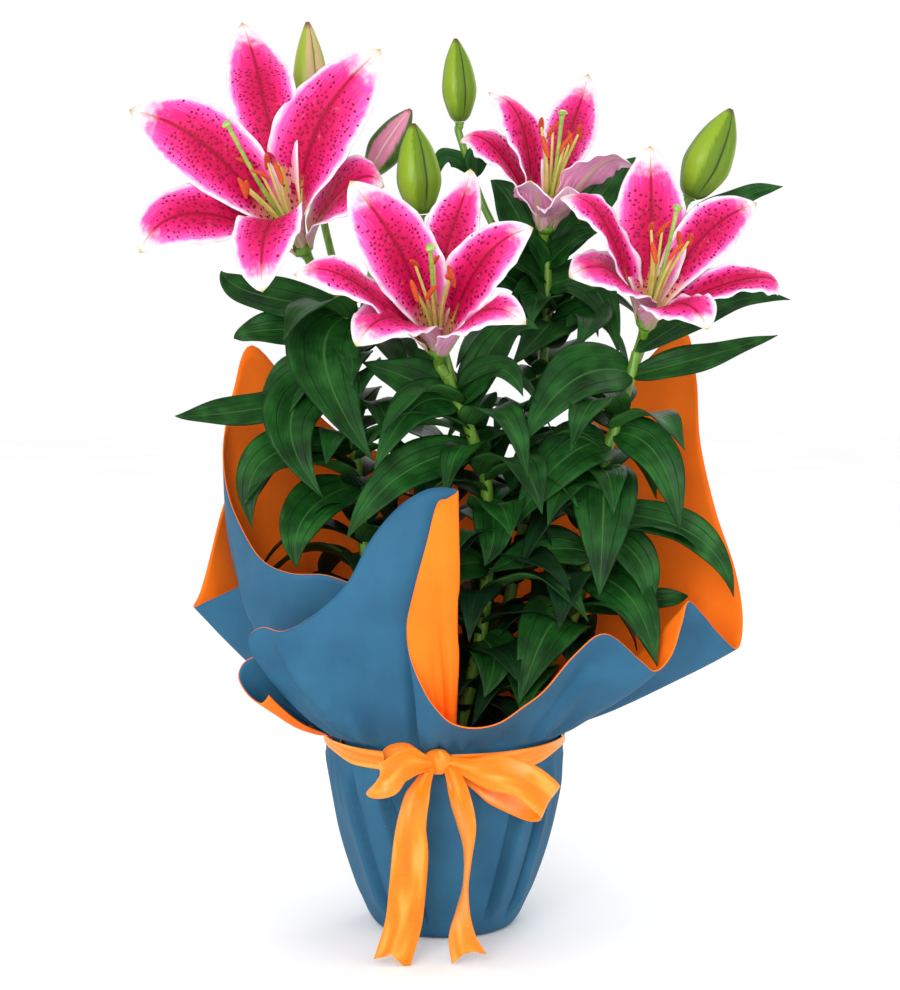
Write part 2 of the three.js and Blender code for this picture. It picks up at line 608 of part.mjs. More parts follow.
function shownLeaves(stem, curve) {
  return LEAVES.flatMap(([owner, height, mx, my, mz, tx, ty, tz, halfWidth], i) => (owner !== stem ? [] : [{
    root: stemPointAt(curve, height), middle: point(mx, my, mz), tip: point(tx, ty, tz), halfWidth,
    face: FRONT_FACE, phase: i * 1.7, steps: LEAF.steps }]));
}

function fillerLeaves(stem, curve) {
  const count = FILL.perStem[stem];
  return Array.from({ length: count }, (unused, i) => {
    const share = (i + 0.5) / count;
    const root = stemPointAt(curve, FILL.from + (FILL.to[stem] - FILL.from) * share);
    const angle = i * FILL.golden + stem * 1.9 + random(-0.3, 0.3);
    const length = random(...FILL.length) * (1 - 0.25 * share);
    const droop = random(...FILL.droop) * (1 - 0.5 * share);
    const halfWidth = random(...FILL.width);
    const way = round(angle, 1, 0);
    const middle = root.clone().addScaledVector(way, length * 0.52).addScaledVector(UP, length * 0.16);
    const tip = root.clone().addScaledVector(way, length * 0.92).addScaledVector(UP, -droop);
    const face = way.clone().multiplyScalar(0.5).add(UP);
    return { root, middle, tip, halfWidth, face, phase: random(0, TURN), steps: LEAF.innerSteps };
  });
}

// The bloom's axis, from its receptacle to its stigma.
const bloomAxis = ({ base, stigma }) => point(...stigma).sub(point(...base)).normalize();

function tepal(bloom, [x, y, z, halfWidth, pitch, twist, rise, bow], seat, phase) {
  const axis = bloomAxis(bloom);
  const base = point(...bloom.base);
  const tip = point(x, y, z);
  const reach = tip.clone().sub(base);
  const length = reach.length();
  const outwards = reach.addScaledVector(axis, -reach.dot(axis)).normalize();
  const side = axis.clone().cross(outwards);
  const lean = radians(pitch);
  const start = base.clone().addScaledVector(outwards, seat).addScaledVector(axis, 2);
  const first = start.clone().addScaledVector(axis, rise * length)
    .addScaledVector(outwards, 0.1 * length + seat - 3.6).addScaledVector(side, bow * length);
  const last = tip.clone().addScaledVector(outwards, -0.38 * length * Math.cos(lean))
    .addScaledVector(axis, -0.38 * length * Math.sin(lean)).addScaledVector(side, bow * length);
  const curve = new THREE.CubicBezierCurve3(start, first, last, tip);
  return blade((t, w) => {
    const p = curve.getPoint(t);
    const tangent = curve.getTangent(t);
    const turn = radians(twist) * THREE.MathUtils.smoothstep(t, 0, 0.5);
    const across = side.clone().applyAxisAngle(tangent, turn);
    const inwards = tangent.cross(across).normalize();
    const half = (halfWidth * (t + 0.02) ** 1.1 * (1 - t) ** 0.8) / 0.2744;
    const cup = THREE.MathUtils.lerp(0.5, -0.3, THREE.MathUtils.smoothstep(t, 0.05, 0.95));
    const wave = TEPAL.wave * w * w * ripple(t, TEPAL.waves, phase + (w > 0 ? 2 : 0));
    const groove = TEPAL.groove * Math.max(0, 1 - 4 * Math.abs(w)) * Math.sin(Math.PI * t);
    p.addScaledVector(across, w * half);
    return p.addScaledVector(inwards, cup * w * w * half + wave - groove);
  }, TEPAL.thickness, 6, 4);
}

// A bloom's six tepals in two layers on a small cup.
function bloomTepals(bloom) {
  const axis = bloomAxis(bloom);
  const base = point(...bloom.base);
  const cup = loft([[0, 4.6], [3, 7.2], [7, CUP.radius], [CUP.height, 5.6]].map(([rise, radius]) => ({
    centre: base.clone().addScaledVector(axis, rise), radius })), 6);
  const layer = (rows, seat) => rows.map((row, i) => tepal(bloom, row, seat, i * 2.1 + seat));
  return joined([cup, ...layer(bloom.inner, 3.6), ...layer(bloom.outer, 6.6)]);
}

function tube(points, radii, steps, sides) {
  return loft(Array.from({ length: steps + 1 }, (unused, k) => ({
    centre: point(...along(points, k / steps)),
    radius: along(radii.map((r) => [r]), k / steps)[0] })), sides);
}

// Six stamens with their anthers, round the ovary with its style and stigma.
function bloomStamens(bloom) {
  const axis = bloomAxis(bloom);
  const base = point(...bloom.base);
  const seat = base.clone().addScaledVector(axis, CUP.height + GAP);
  const across = axis.clone().cross(UP).normalize();
  const above = across.clone().cross(axis);
  const stigma = point(...bloom.stigma);
  const sag = mix(seat, stigma, 0.5).addScaledVector(above, -3);
  const from = (start, rise, radius) => ({ centre: start.clone().addScaledVector(axis, rise), radius });
  const { radius, styleRadius } = STIGMA;
  const style = loft([
    from(seat, 0, 3.4), from(seat, 5, 2.8), from(seat, 10, styleRadius), from(sag, 0, styleRadius * 0.8),
    from(stigma, -3, styleRadius), from(stigma, 0.4, radius), from(stigma, 2.2, 2),
  ], 6, (angle, t) => 1 + (t > 0.7 ? 0.12 : 0) * Math.cos(3 * angle));
  const stamens = Array.from({ length: 6 }, (unused, i) => {
    const angle = (TURN * (i + 0.5)) / 6;
    const way = across.clone().multiplyScalar(Math.cos(angle)).addScaledVector(above, Math.sin(angle));
    const reach = STAMEN.reach * (1 - 0.08 * (i % 3));
    const root = seat.clone().addScaledVector(axis, 3).addScaledVector(way, 1.8);
    const bend = seat.clone().addScaledVector(axis, reach * 0.55).addScaledVector(way, STAMEN.spread * 0.42);
    const end = seat.clone().addScaledVector(axis, reach).addScaledVector(way, STAMEN.spread);
    const filament = loft([root, bend, end].map((centre, k) => ({
      centre, radius: STAMEN.radius * (1.3 - 0.25 * k) })), 3);
    const skew = i % 2 ? 0.5 : -0.5;
    const lie = axis.clone().multiplyScalar(0.86).addScaledVector(way.clone().cross(axis), skew).normalize();
    const anther = loft([-0.5, 0, 0.5].map((share) => ({
      centre: end.clone().addScaledVector(lie, share * STAMEN.anther),
      radius: (share ? 0.6 : 1) * STAMEN.antherRadius })), 3);
    return filament.add(anther);
  });
  return joined([style, ...stamens]);
}

// A closed bud: three outer tepals meet along its furrows.
function bud({ base, tip, radius }) {
  const [from, to] = [point(...base), point(...tip)];
  const profile = [[0, 0.34], [0.08, 0.64], [0.32, 1], [0.52, 0.96], [0.74, 0.72], [0.92, 0.34], [1, 0.1]];
  return loft(profile.map(([t, r]) => ({ centre: mix(from, to, t), radius: r * radius })), 9,
    (angle) => 1 + 0.07 * Math.cos(3 * angle));
}

// The stalk of a bloom or bud, which arrives in line with what it bears.
function stalk(from, bend, base, ahead, radius, endRadius) {
  const before = base.clone().addScaledVector(ahead, -12);
  const points = [from, ...(bend ? [bend] : []), before].map((p) => p.toArray());
  const steps = bend ? 4 : 2;
  const sections = Array.from({ length: steps + 1 }, (unused, k) => ({
    centre: point(...along(points, k / steps)), radius }));
  sections.push({ centre: base.clone().addScaledVector(ahead, -4), radius });
  sections.push({ centre: base.clone().addScaledVector(ahead, -2 * GAP), radius: endRadius });
  return loft(sections, 6);
}

const budCurve = ({ from, bend, base }, t) => point(...along([from, bend, base], t));

// A stem with the stalks of its blooms and buds.
function bareStem(stem) {
  const curve = STEMS[stem];
  const foot = curve[0].slice(0, 2);
  const points = [[...foot, BULB.base + BULB.height + GAP], ...curve];
  const parts = [tube(points, [STEM.radius, STEM.radius, STEM.tipRadius], points.length + 1, 6)];
  const top = point(...curve[curve.length - 1]);
  for (const bloom of BLOOMS.filter((one) => one.stem === stem)) {
    const start = stemPointAt(curve, curve[curve.length - 1][2] - 6);
    parts.push(stalk(start, null, point(...bloom.base), bloomAxis(bloom), STEM.tipRadius, 4.4));
    parts.push(loft([-6, -3, 0].map((rise) => ({
      centre: top.clone().addScaledVector(UP, rise), radius: rise === -3 ? STEM.tipRadius : 2 })), 6));
  }
  for (const one of BUDS.filter((each) => each.stem === stem)) {
    const ahead = point(...one.tip).sub(point(...one.base)).normalize();
    parts.push(stalk(point(...one.from), point(...one.bend), point(...one.base), ahead, STEM.pedicelRadius,
      one.radius * 0.3));
  }
  return joined(parts);
}

// A stem with every leaf that finds a clear place on it.
function leafyStem(stem, bare, obstacles) {
  const curve = STEMS[stem];
  const bracts = BRACTS.filter(({ bud: which }) => BUDS[which].stem === stem).map((row) => ({
    root: budCurve(BUDS[row.bud], row.at), middle: point(...row.middle), tip: point(...row.tip),
    halfWidth: row.width, face: FRONT_FACE, phase: 0, steps: LEAF.steps }));
  const wanted = [...shownLeaves(stem, curve), ...bracts, ...fillerLeaves(stem, curve)];
  const leaves = [];
  for (const leaf of wanted) {
    for (const bend of BENDS) {
      const made = bentLeaf(leaf, bend);
      const crossed = leaves.reduce((sum, other) => sum + made.intersect(other).volume(), 0);
      if (crossed < MOST_CROSSED && obstacles.every((other) => made.intersect(other).isEmpty())) {
        leaves.push(made);
        break;
      }
    }
  }
  return joined([bare, ...leaves]);
}

const plant = new THREE.Group();

function add(name, made, color, roughness) {
  const solid = made.simplify(0.04);
  const { numProp, vertProperties, triVerts } = solid.getMesh();
  const geometry = new THREE.BufferGeometry();
  geometry.setAttribute("position", new THREE.BufferAttribute(vertProperties, numProp));
  geometry.setIndex(new THREE.BufferAttribute(triVerts, 1));
  geometry.computeVertexNormals();
  const mesh = new THREE.Mesh(geometry, new THREE.MeshStandardMaterial({ color, roughness, metalness: 0 }));
  mesh.name = name;
  plant.add(mesh);
  return solid;
}

add("pot", pot(), "#2b2b2b", 0.6);
const soilMass = add("soil", soil(), "#33241a", 0.95);
STEMS.forEach(([foot], i) => add(`bulb_${i + 1}`, bulb(foot), "#e6d8b4", 0.6));
const paper = add("wrap", wrap(), "#3b78a1", 0.7);
const bow = add("ribbon", ribbon(), "#ff8a1e", 0.35);

const flowers = BLOOMS.flatMap((bloom, i) => [
  add(`bloom_${i + 1}_tepals`, bloomTepals(bloom), "#ee5a9e", 0.5),
  add(`bloom_${i + 1}_stamens`, bloomStamens(bloom), "#c8b84a", 0.5),
]);
const closed = BUDS.map((one, i) => add(`bud_${i + 1}`, bud(one), i === 3 ? "#d98aa8" : "#8fb51c", 0.45));

const stems = STEMS.map((unused, i) => bareStem(i));
STEMS.forEach((unused, i) => {
  const others = stems.filter((one, k) => k !== i);
  stems[i] = leafyStem(i, stems[i], [soilMass, paper, bow, ...flowers, ...closed, ...others]);
  add(`stem_${i + 1}`, stems[i], "#2c6b35", 0.45);
});

export default plant;
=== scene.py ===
# A potted oriental lily: four open pink blooms and five buds on four leafy stems, which grow from
# bulbs in a nursery pot. A two-tone sheet wraps the pot and a satin ribbon ties it at the neck.
# The tables and formulas are in millimetres, and the meshes in metres.
from math import cos, degrees, exp, hypot, pi, radians, sin, sqrt, tau

import bmesh
import bpy
from mathutils import Matrix, Vector, noise
from mathutils.bvhtree import BVHTree


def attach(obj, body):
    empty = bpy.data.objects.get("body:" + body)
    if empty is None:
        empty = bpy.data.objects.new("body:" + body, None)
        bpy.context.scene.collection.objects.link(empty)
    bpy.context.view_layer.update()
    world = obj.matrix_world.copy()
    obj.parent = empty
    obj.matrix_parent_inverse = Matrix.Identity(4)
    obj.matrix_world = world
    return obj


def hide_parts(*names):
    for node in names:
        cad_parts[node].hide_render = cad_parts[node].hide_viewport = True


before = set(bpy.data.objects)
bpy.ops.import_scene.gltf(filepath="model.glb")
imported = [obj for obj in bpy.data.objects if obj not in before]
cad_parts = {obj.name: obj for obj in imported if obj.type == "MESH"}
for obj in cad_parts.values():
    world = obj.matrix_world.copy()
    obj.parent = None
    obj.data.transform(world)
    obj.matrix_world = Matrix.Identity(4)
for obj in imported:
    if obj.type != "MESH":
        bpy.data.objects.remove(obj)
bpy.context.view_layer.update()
MM = 0.001

# Nursery pot, soil and bulbs. The pot is black polypropylene, moulded in one piece; it stands inside
# the wrap, filled with peat compost, and the scaly bulbs are planted at half its height.


def linear(code):
    """An sRGB hex colour as the linear colour that a socket takes."""
    parts = [int(code[i:i + 2], 16) / 255 for i in (1, 3, 5)]
    return [p / 12.92 if p <= 0.04045 else ((p + 0.055) / 1.055) ** 2.4 for p in parts] + [1.0]


def per_metre(size):
    """The scale of a pattern whose features measure size millimetres."""
    return 1000 / size


class Finish:
    """A material in the making. Each method adds a shader node and gives its output, or all its outputs
    where output is None. What goes in is a value, a hex colour or another node's output."""

    def __init__(self, name):
        self.material = bpy.data.materials.new(name)
        self.material.use_nodes = True
        self.material.node_tree.nodes.clear()

    def node(self, kind, output, inputs, **settings):
        tree = self.material.node_tree
        made = tree.nodes.new("ShaderNode" + kind)
        for key, value in settings.items():
            setattr(made, key, value)
        for key, value in inputs.items():
            if isinstance(value, bpy.types.NodeSocket):
                tree.links.new(value, made.inputs[key])
            else:
                made.inputs[key].default_value = linear(value) if isinstance(value, str) else value
        return made.outputs if output is None else made.outputs[output]

    def place(self):
        return self.node("TexCoord", "Object", {})

    def layer(self, name):
        """The values of a point layer of the mesh."""
        return self.node("Attribute", "Vector", {}, attribute_name=name)

    def axes(self, vector):
        return self.node("SeparateXYZ", None, {"Vector": vector})

    def scaled(self, vector, *scale):
        return self.node("Mapping", "Vector", {"Vector": vector, "Scale": scale})

    def noise(self, vector, scale, detail, **more):
        return self.node("TexNoise", "Fac", {"Vector": vector, "Scale": scale, "Detail": detail, **more})

    def math(self, operation, *values, clamp=False):
        return self.node("Math", "Value", dict(enumerate(values)), operation=operation, use_clamp=clamp)

    def span(self, value, low, high, to_low=0, to_high=1, smooth=False):
        """Maps low to to_low and high to to_high, and stays there beyond them."""
        return self.node("MapRange", "Result", {"Value": value, "From Min": low, "From Max": high,
                                                "To Min": to_low, "To Max": to_high},
                         interpolation_type="SMOOTHSTEP" if smooth else "LINEAR")

    def ramp(self, value, *rows):
        colour = self.node("ValToRGB", "Color", {"Fac": value})
        stops = colour.node.color_ramp.elements
        for i, (place, code) in enumerate(rows):
            stop = stops[i] if i < 2 else stops.new(place)
            stop.position, stop.color = place, linear(code)
        return colour

    def mix(self, share, one, other):
        return self.node("Mix", 2, {0: share, 6: one, 7: other}, data_type="RGBA")

    def bump(self, height, strength, distance, **more):
        return self.node("Bump", "Normal", {"Height": height, "Strength": strength, "Distance": distance,
                                            **more})

    def surface(self, colour, roughness, soft=0, specular=0.5, **more):
        """Ends the material. Light sinks into it by the share soft, as it does into a plant's flesh."""
        self.node("OutputMaterial", None, {"Surface": self.node("BsdfPrincipled", "BSDF", {
            "Base Color": colour, "Roughness": roughness, "Specular IOR Level": specular,
            "Subsurface Weight": soft, "Subsurface Scale": 0.002, **more})})
        return self.material


def grained(name, size, detail, draw_out, stops, roughness, relief, **more):
    """A finish whose tint and relief follow one grain of size millimetres, drawn out along z."""
    look = Finish(name)
    grain = look.noise(look.scaled(look.place(), 1, 1, draw_out), per_metre(size), detail)
    return look.surface(look.ramp(grain, *stops), roughness, Normal=look.bump(grain, *relief), **more)


# Moulded polypropylene: a dull black with the fine grain of the mould, which breaks up the gloss.
look = Finish("moulded_black_polypropylene")
grain = look.noise(look.place(), per_metre(0.8), 2)
pot_plastic = look.surface(look.ramp(grain, (0.3, "#1F2021"), (0.7, "#2D2E30")),
                           look.span(grain, 0, 1, 0.48, 0.62), IOR=1.49, Normal=look.bump(grain, 0.2, 0.0001))

# Peat compost: dark brown crumbs of 2 to 4 mm with lighter fibres between them, quite without gloss.
look = Finish("peat_compost")
place = look.place()
fibre = look.noise(place, per_metre(1.2), 5, Distortion=1.5)
crumb = look.node("TexVoronoi", "Distance", {"Vector": place, "Scale": per_metre(3)})
heap = look.math("SUBTRACT", crumb, fibre)
compost = look.surface(look.ramp(fibre, (0.3, "#1B110B"), (0.55, "#3A281B"), (0.72, "#6B5136")), 0.95,
                       Normal=look.bump(heap, 0.9, 0.002))

# Bulb scales: waxy ivory with tan streaks that run up each scale.
bulb_skin = grained("waxy_bulb_scale", 2.5, 3, 0.15, [(0.35, "#C9A871"), (0.5, "#E6D8B4"), (0.7, "#F3EBD2")],
                    0.5, (0.3, 0.0004))

for name, material in [("pot", pot_plastic), ("soil", compost)] + [
        (f"bulb_{i}", bulb_skin) for i in range(1, 5)]:
    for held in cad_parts[name].material_slots:
        held.material = material

# Wrap. One sheet of thick matte paper, blue outside and orange inside. It rounds under the pot, rises
# in soft pleats, is gathered at the neck under the ribbon and flares out as a folded collar.
NECK_TOP = 141
SLEEVE = [(0, 0), (24, 0), (46, 0), (54, 6), (60.5, 20), (66, 34), (77, 72), (84, 110), (86, 128),
          (85.2, 137)]
PLEAT, PAPER = 3.2, 0.9
# Where the sleeve is folded over itself: the fold's angle at the neck and at the foot, and the side, 1
# or -1, on which the paper lies on top.
FOLDS = [(217, 229, -1), (236, 256, -1), (312, 303, 1), (330, 322, 1), (22, 16, 1), (64, 70, -1),
         (112, 106, 1), (158, 164, -1)]
FOLD_DEPTH, FOLD_GROOVE, FOLD_REACH, FOLD_TOP = 6, 5, 24, 120
# The folds of the collar: the column where each starts at the neck and the column where it ends at the
# free edge. The paper past it lies on top.
COLLAR_FOLDS = [(4.3, 2.4), (23.4, 26), (54, 49.4)]
COLLAR_FOLD_DEPTH, COLLAR_FOLD_REACH = 7, 2.4
# The share of the collar's grid that runs down behind the ribbon, and how far.
TUCK, TUCK_HEIGHT = 0.07, 11
# The collar's columns, anticlockwise from the flap at the front left: the angle and radius where the
# column leaves the neck, the point that it reaches on the free edge, and how far it bellies outwards.
COLLAR = [
    (212, 82.6, -132, -88, 210, 6), (217, 82.6, -134, -93, 222, 8), (222, 82.6, -124, -99, 230, 10),
    (228, 82.6, -108, -106, 229, 12), (234, 82.6, -85, -112, 243, 14), (240, 82.6, -65, -115, 263, 16),
    (246, 82.6, -50, -117, 291, 18), (252, 82.6, -33, -117, 312, 18), (259, 82.6, -16, -115, 324, 18),
    (267, 82.6, -3, -113, 327, 16), (275, 82.6, 9, -112, 325, 14),
    # The lapel, folded back over the flap.
    (273, 84, 2, -118, 320, 13), (271, 84, -5, -120, 316, 13), (269, 84, -12, -123, 289, 13),
    (267, 84, -20, -124, 259, 12), (264, 84, -25, -124, 234, 11), (261, 84, -22, -125, 211, 9),
    # The low front edge.
    (263, 85.4, -13, -129, 190, 5), (267, 85.4, -3, -127, 176, 2), (273, 85.4, 7, -124, 168, -2),
    (281, 85.2, 22, -121, 165, -4), (291, 84.8, 38, -118, 168, -4), (300, 84.4, 53, -116, 178, -4),
    (308, 84, 68, -115, 190, -2), (315, 83.5, 88, -113, 214, 2), (321, 83.5, 109, -107, 227, 3),
    (328, 83.5, 134, -92, 206, 3), (334, 83.5, 146, -82, 197, 3),
    # The right side, out to the far corner.
    (340, 83.5, 158, -73, 207, 3), (345, 83.5, 165, -67, 229, 3), (350, 83.5, 170, -60, 243, 2),
    (355, 83.5, 182, -46, 231, 2), (360, 83.5, 197, -28, 213, 3), (366, 83.5, 212, -8, 201, 4),
    (374, 83.5, 218, 15, 221, 8), (382, 83.5, 215, 38, 253, 8), (392, 83.5, 203, 60, 295, 14),
    (402, 83.5, 193, 78, 345, 18), (411, 83.5, 191, 92, 395, 20),
    # The back, between its two tall peaks.
    (420, 83.5, 179, 100, 429, 22), (430, 83.5, 134, 112, 383, 22), (440, 83.5, 90, 117, 345, 22),
    (450, 83.5, 27, 118, 326, 22), (460, 83.5, -30, 117, 331, 22), (470, 83.5, -73, 112, 345, 22),
    (480, 83.5, -112, 103, 380, 22), (489, 83.5, -145, 84, 418, 20),
    # The left side, which dips and ends behind the flap.
    (498, 83.5, -158, 68, 385, 18), (507, 83.5, -164, 50, 350, 26), (517, 83.5, -160, 22, 320, 26),
    (528, 83.5, -147, -14, 295, 22), (539, 83.5, -129, -50, 272, 16), (549, 83.5, -106, -76, 265, 11),
    (559, 83.5, -80, -88, 265, 6), (568, 83.5, -56, -94, 256, 6),
]
# The corner of the sheet that stands out at the left as a horn, and the rolled tongue below the flap.
HORN = [
    (150, 85, -156, 64, 298, 30), (157, 85, -163, 52, 304, 28), (163, 85, -172, 38, 268, 22),
    (168, 85, -180, 26, 238, 12), (171, 85, -184, 16, 228, 4), (175, 85, -172, 8, 234, 2),
    (180, 85, -155, 5, 242, 3), (185, 85, -140, 4, 250, 4),
]
TONGUE = [
    (197, 85, -120, -91, 183, 4), (193, 85, -126, -85, 176, 4), (191, 85, -136, -75, 181, 2),
    (193, 85, -142, -72, 192, 1), (196, 85, -138, -71, 202, 2), (199, 85, -125, -70, 208, 3),
]
UP = Vector((0, 0, 1))
# The points of a grid that are nearer than this, in metres, become one.
WELD = 1e-6


def smoothstep(value, low, high):
    t = min(max((value - low) / (high - low), 0), 1)
    return t * t * (3 - 2 * t)


def along(points, t):
    """A smooth curve through points, read at t from 0 to 1."""
    last = len(points) - 1
    i = min(int(t * last), last - 1)
    f = t * last - i
    rows = points[max(i - 1, 0)], points[i], points[i + 1], points[min(i + 2, last)]
    return [b + 0.5 * f * (c - a + f * (2 * a - 5 * b + 4 * c - d + f * (3 * (b - c) + d - a)))
            for a, b, c, d in zip(*rows)]


def round_at(angle, radius, z=0):
    return Vector((radius * cos(angle), radius * sin(angle), z))


def arc(a, control, b, t):
    return a * (1 - t) ** 2 + control * (2 * t * (1 - t)) + b * t ** 2


def surface(bm, across, ahead, place_at, marks=None, index=0):
    """Adds a grid to bm and moves each point to place_at(u, v), with u and v from 0 to 1. marks gives
    the values of the point layers there."""
    grid = bmesh.ops.create_grid(bm, x_segments=across, y_segments=ahead, size=0.5)["verts"]
    faces = {face for vert in grid for face in vert.link_faces}
    for vert in grid:
        u, v = vert.co.x + 0.5, vert.co.y + 0.5
        vert.co = place_at(u, v) * MM
        for layer, value in (marks(u, v) if marks else {}).items():
            vert[layer] = value
    for face in faces:
        face.material_index, face.smooth = index, True
    bmesh.ops.remove_doubles(bm, verts=grid, dist=WELD)
    return grid


def placed(name, data):
    """An object of the scene, at the origin."""
    made = bpy.data.objects.new(name, data)
    bpy.context.scene.collection.objects.link(made)
    return made


def meshed(name, bm, materials):
    mesh = bpy.data.meshes.new(name)
    bm.to_mesh(mesh)
    bm.free()
    for material in materials:
        mesh.materials.append(material)
    return placed(name, mesh)


def piece(name, bm, materials, slot, *nodes):
    """The mesh as a finished object, which rides on the body and stands for the nodes."""
    made = meshed(name, bm, materials)
    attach(made, "root")
    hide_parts(*nodes)
    return made


def thicken(made, name, thickness, offset=0, far=1, rim=0):
    """Makes a sheet into a wall. Its far side and its rim take the material so many slots further on."""
    wall = made.modifiers.new(name, "SOLIDIFY")
    wall.thickness, wall.offset = thickness * MM, offset
    wall.material_offset, wall.material_offset_rim = far, rim


def sleeve_at(u, v):
    """The pleated sleeve: u goes round it and v up from the middle of its underside."""
    radius, z = along(SLEEVE, v)
    angle = tau * u
    free = smoothstep(z, 4, 60) * (1 - smoothstep(z, 100, 122))
    fold = cos(9 * angle + 1.1) + 0.6 * cos(5 * angle + 0.4)
    gather = 0.7 * sin(34 * angle + 2 * sin(5 * angle)) * smoothstep(z, 70, 118)
    lap = 0
    for neck, foot, top in FOLDS:
        past = (degrees(angle) - foot - (neck - foot) * z / FOLD_TOP + 180) % 360 - 180
        past *= top
        lap += FOLD_DEPTH * smoothstep(past, -2, 0) * max(1 - max(past, 0) / FOLD_REACH, 0) ** 2
        lap -= FOLD_GROOVE * exp(-((past + 3) / 1.8) ** 2)
    lap *= smoothstep(z, 6, 30) * (1 - smoothstep(z, 110, 124))
    radius += free * PLEAT * 0.6 * fold / 1.6 + gather * (z < 126) + lap
    return round_at(angle, max(radius, 0), max(z, 0))


def column_at(column, v):
    """A point of the collar's column, from its root at v 0 to the free edge at v 1."""
    angle, radius, x, y, z, belly = column
    root, rim = round_at(radians(angle), radius, NECK_TOP), Vector((x, y, z))
    middle = (root + rim) / 2
    outwards = Vector((middle.x, middle.y, 0)).normalized()
    chord = rim - root
    reach = chord.dot(outwards)
    length = hypot(reach, chord.z)
    middle += outwards * (belly * chord.z / length) - UP * (belly * reach / length)
    return arc(root, middle * 2 - root / 2 - rim / 2, rim, v)


def collar_at(columns, u, v):
    """The collar's sheet, whose lowest strip runs down behind the ribbon."""
    column = along(columns, u)
    if v < TUCK:
        return round_at(radians(column[0]), column[1], NECK_TOP - TUCK_HEIGHT * (1 - v / TUCK))
    return column_at(column, (v - TUCK) / (1 - TUCK))


def creased_collar_at(columns, u, v):
    """The collar with the creases that fan out from the gathered neck."""
    here = collar_at(columns, u, v)
    step = 0.004
    over = collar_at(columns, min(u + step, 1), v) - collar_at(columns, max(u - step, 0), v)
    up = collar_at(columns, u, min(v + step, 1)) - collar_at(columns, u, max(v - step, 0))
    normal = over.cross(up).normalized()
    column = u * (len(columns) - 1)
    wander = noise.noise(Vector((column * 0.31, 0, 4.2)))
    fan = sin(tau * (column * 0.62 + 0.9 * wander))
    fan = fan * abs(fan) ** 0.4
    crease = 1.5 * fan * smoothstep(v, 0.06, 0.2) * (1 - smoothstep(v, 0.2, 0.75))
    sway = 2.0 * noise.noise(here * 0.018) * smoothstep(v, 0.1, 0.5)
    lap = 0
    for neck, rim in COLLAR_FOLDS if columns is COLLAR else ():
        past = column - neck - (rim - neck) * v
        lap += smoothstep(past, -0.4, 0) * max(1 - max(past, 0) / COLLAR_FOLD_REACH, 0) ** 2
    lap *= COLLAR_FOLD_DEPTH * smoothstep(v, 0.08, 0.25) * (1 - smoothstep(v, 0.7, 0.97))
    return here + normal * (crease + sway + lap)


# Matte two-tone paper: a flat, even colour with faint cloudy fibres and shallow handling dents,
# which the light shows only as soft changes of tone.
def wrapping_paper(name, *shades):
    look = Finish(name)
    cloud = look.noise(look.place(), per_metre(34), 3)
    fibre = look.noise(look.place(), per_metre(1.1), 4, Roughness=0.6)
    tone = look.math("MULTIPLY_ADD", fibre, 0.25, cloud)
    felt = look.bump(fibre, 0.25, 0.0002, Normal=look.bump(cloud, 0.16, 0.004))
    return look.surface(look.ramp(tone, *zip((0.42, 0.6, 0.82), shades)), 0.72, IOR=1.45, specular=0.35,
                        Normal=felt)


blue_face = wrapping_paper("matte_wrapping_paper_blue", "#1F5271", "#225877", "#265E7D")
orange_face = wrapping_paper("matte_wrapping_paper_orange", "#F86C02", "#FB7204", "#FE7808")

bm = bmesh.new()
surface(bm, 480, 54, sleeve_at)
for columns in (COLLAR, HORN, TONGUE):
    surface(bm, 6 * (len(columns) - 1), 34, lambda u, v: creased_collar_at(columns, u, v))
wrap = piece("wrapping_sheet", bm, [blue_face, orange_face], "wrap", "wrap")
thicken(wrap, "paper_thickness", PAPER, offset=-1, rim=1)

# Ribbon. Orange satin, 25 mm wide: a band round the neck, a small gathered knot, two loops and two
# long tails whose ends are cut to swallow tails.
RIBBON_WIDTH, SATIN, NOTCH = 25, 0.5, 7
LOOP_LENGTHS, TAIL_LENGTHS, BAND_LENGTH = (100, 154), (139, 134), 545
BAND, BAND_TAPER = (86.9, 127.5, 140.5), 7
KNOT = ((-4, -94.5, 137), (9, 8, 9))
# Each loop comes back to the knot. A strip has its path and the directions of the ribbon's width.
LOOPS = [
    ([(-9, -99, 136), (-19, -110, 139), (-28, -119, 139), (-38, -123, 132), (-46, -119, 130),
      (-42, -108, 135), (-33, -102, 139), (-21, -99, 138), (-8, -96, 135)],
     [(0, 0, 1), (0.2, 0, 1), (0.3, 0, 1), (0.4, 0, 0.9), (0.45, 0, 0.8), (0.4, 0, 0.9), (0.2, 0, 1),
      (0.1, 0, 1), (0, 0, 1)]),
    ([(4, -98, 137), (22, -111, 134), (40, -121, 134), (57, -126, 129), (69, -122, 117),
      (60, -111, 112), (44, -104, 117), (27, -98, 124), (7, -95, 133)],
     [(0, 0, 1), (0.1, 0, 1), (0.25, 0, 1), (0.45, 0, 0.9), (0.5, 0, 0.9), (0.45, 0, 0.9), (0.35, 0, 0.9),
      (0.2, 0, 1), (0, 0, 1)]),
]
TAILS = [
    ([(-10, -99, 134), (-17, -108, 120), (-22, -110, 97), (-23, -112, 76), (-25, -113, 52),
      (-28, -114, 28), (-36, -115, 1.2)],
     [(0.8, -0.4, 0.3), (0.7, -0.7, 0.2), (0.8, -0.6, 0.1), (1, -0.2, 0.1), (1, 0, 0.1), (1, 0, 0.1),
      (1, 0, 0)]),
    ([(4, -99, 134), (10, -109, 117), (15, -111, 97), (16, -112, 76), (15, -112, 56), (13, -113, 35),
      (13, -114, 18), (17, -115, 5)],
     [(0.9, -0.4, -0.2), (0.7, -0.7, -0.1), (0.5, -0.8, 0), (0.2, -1, 0), (0.1, -1, 0), (0.4, -0.9, 0),
      (0.8, -0.6, 0), (1, -0.2, 0)]),
]


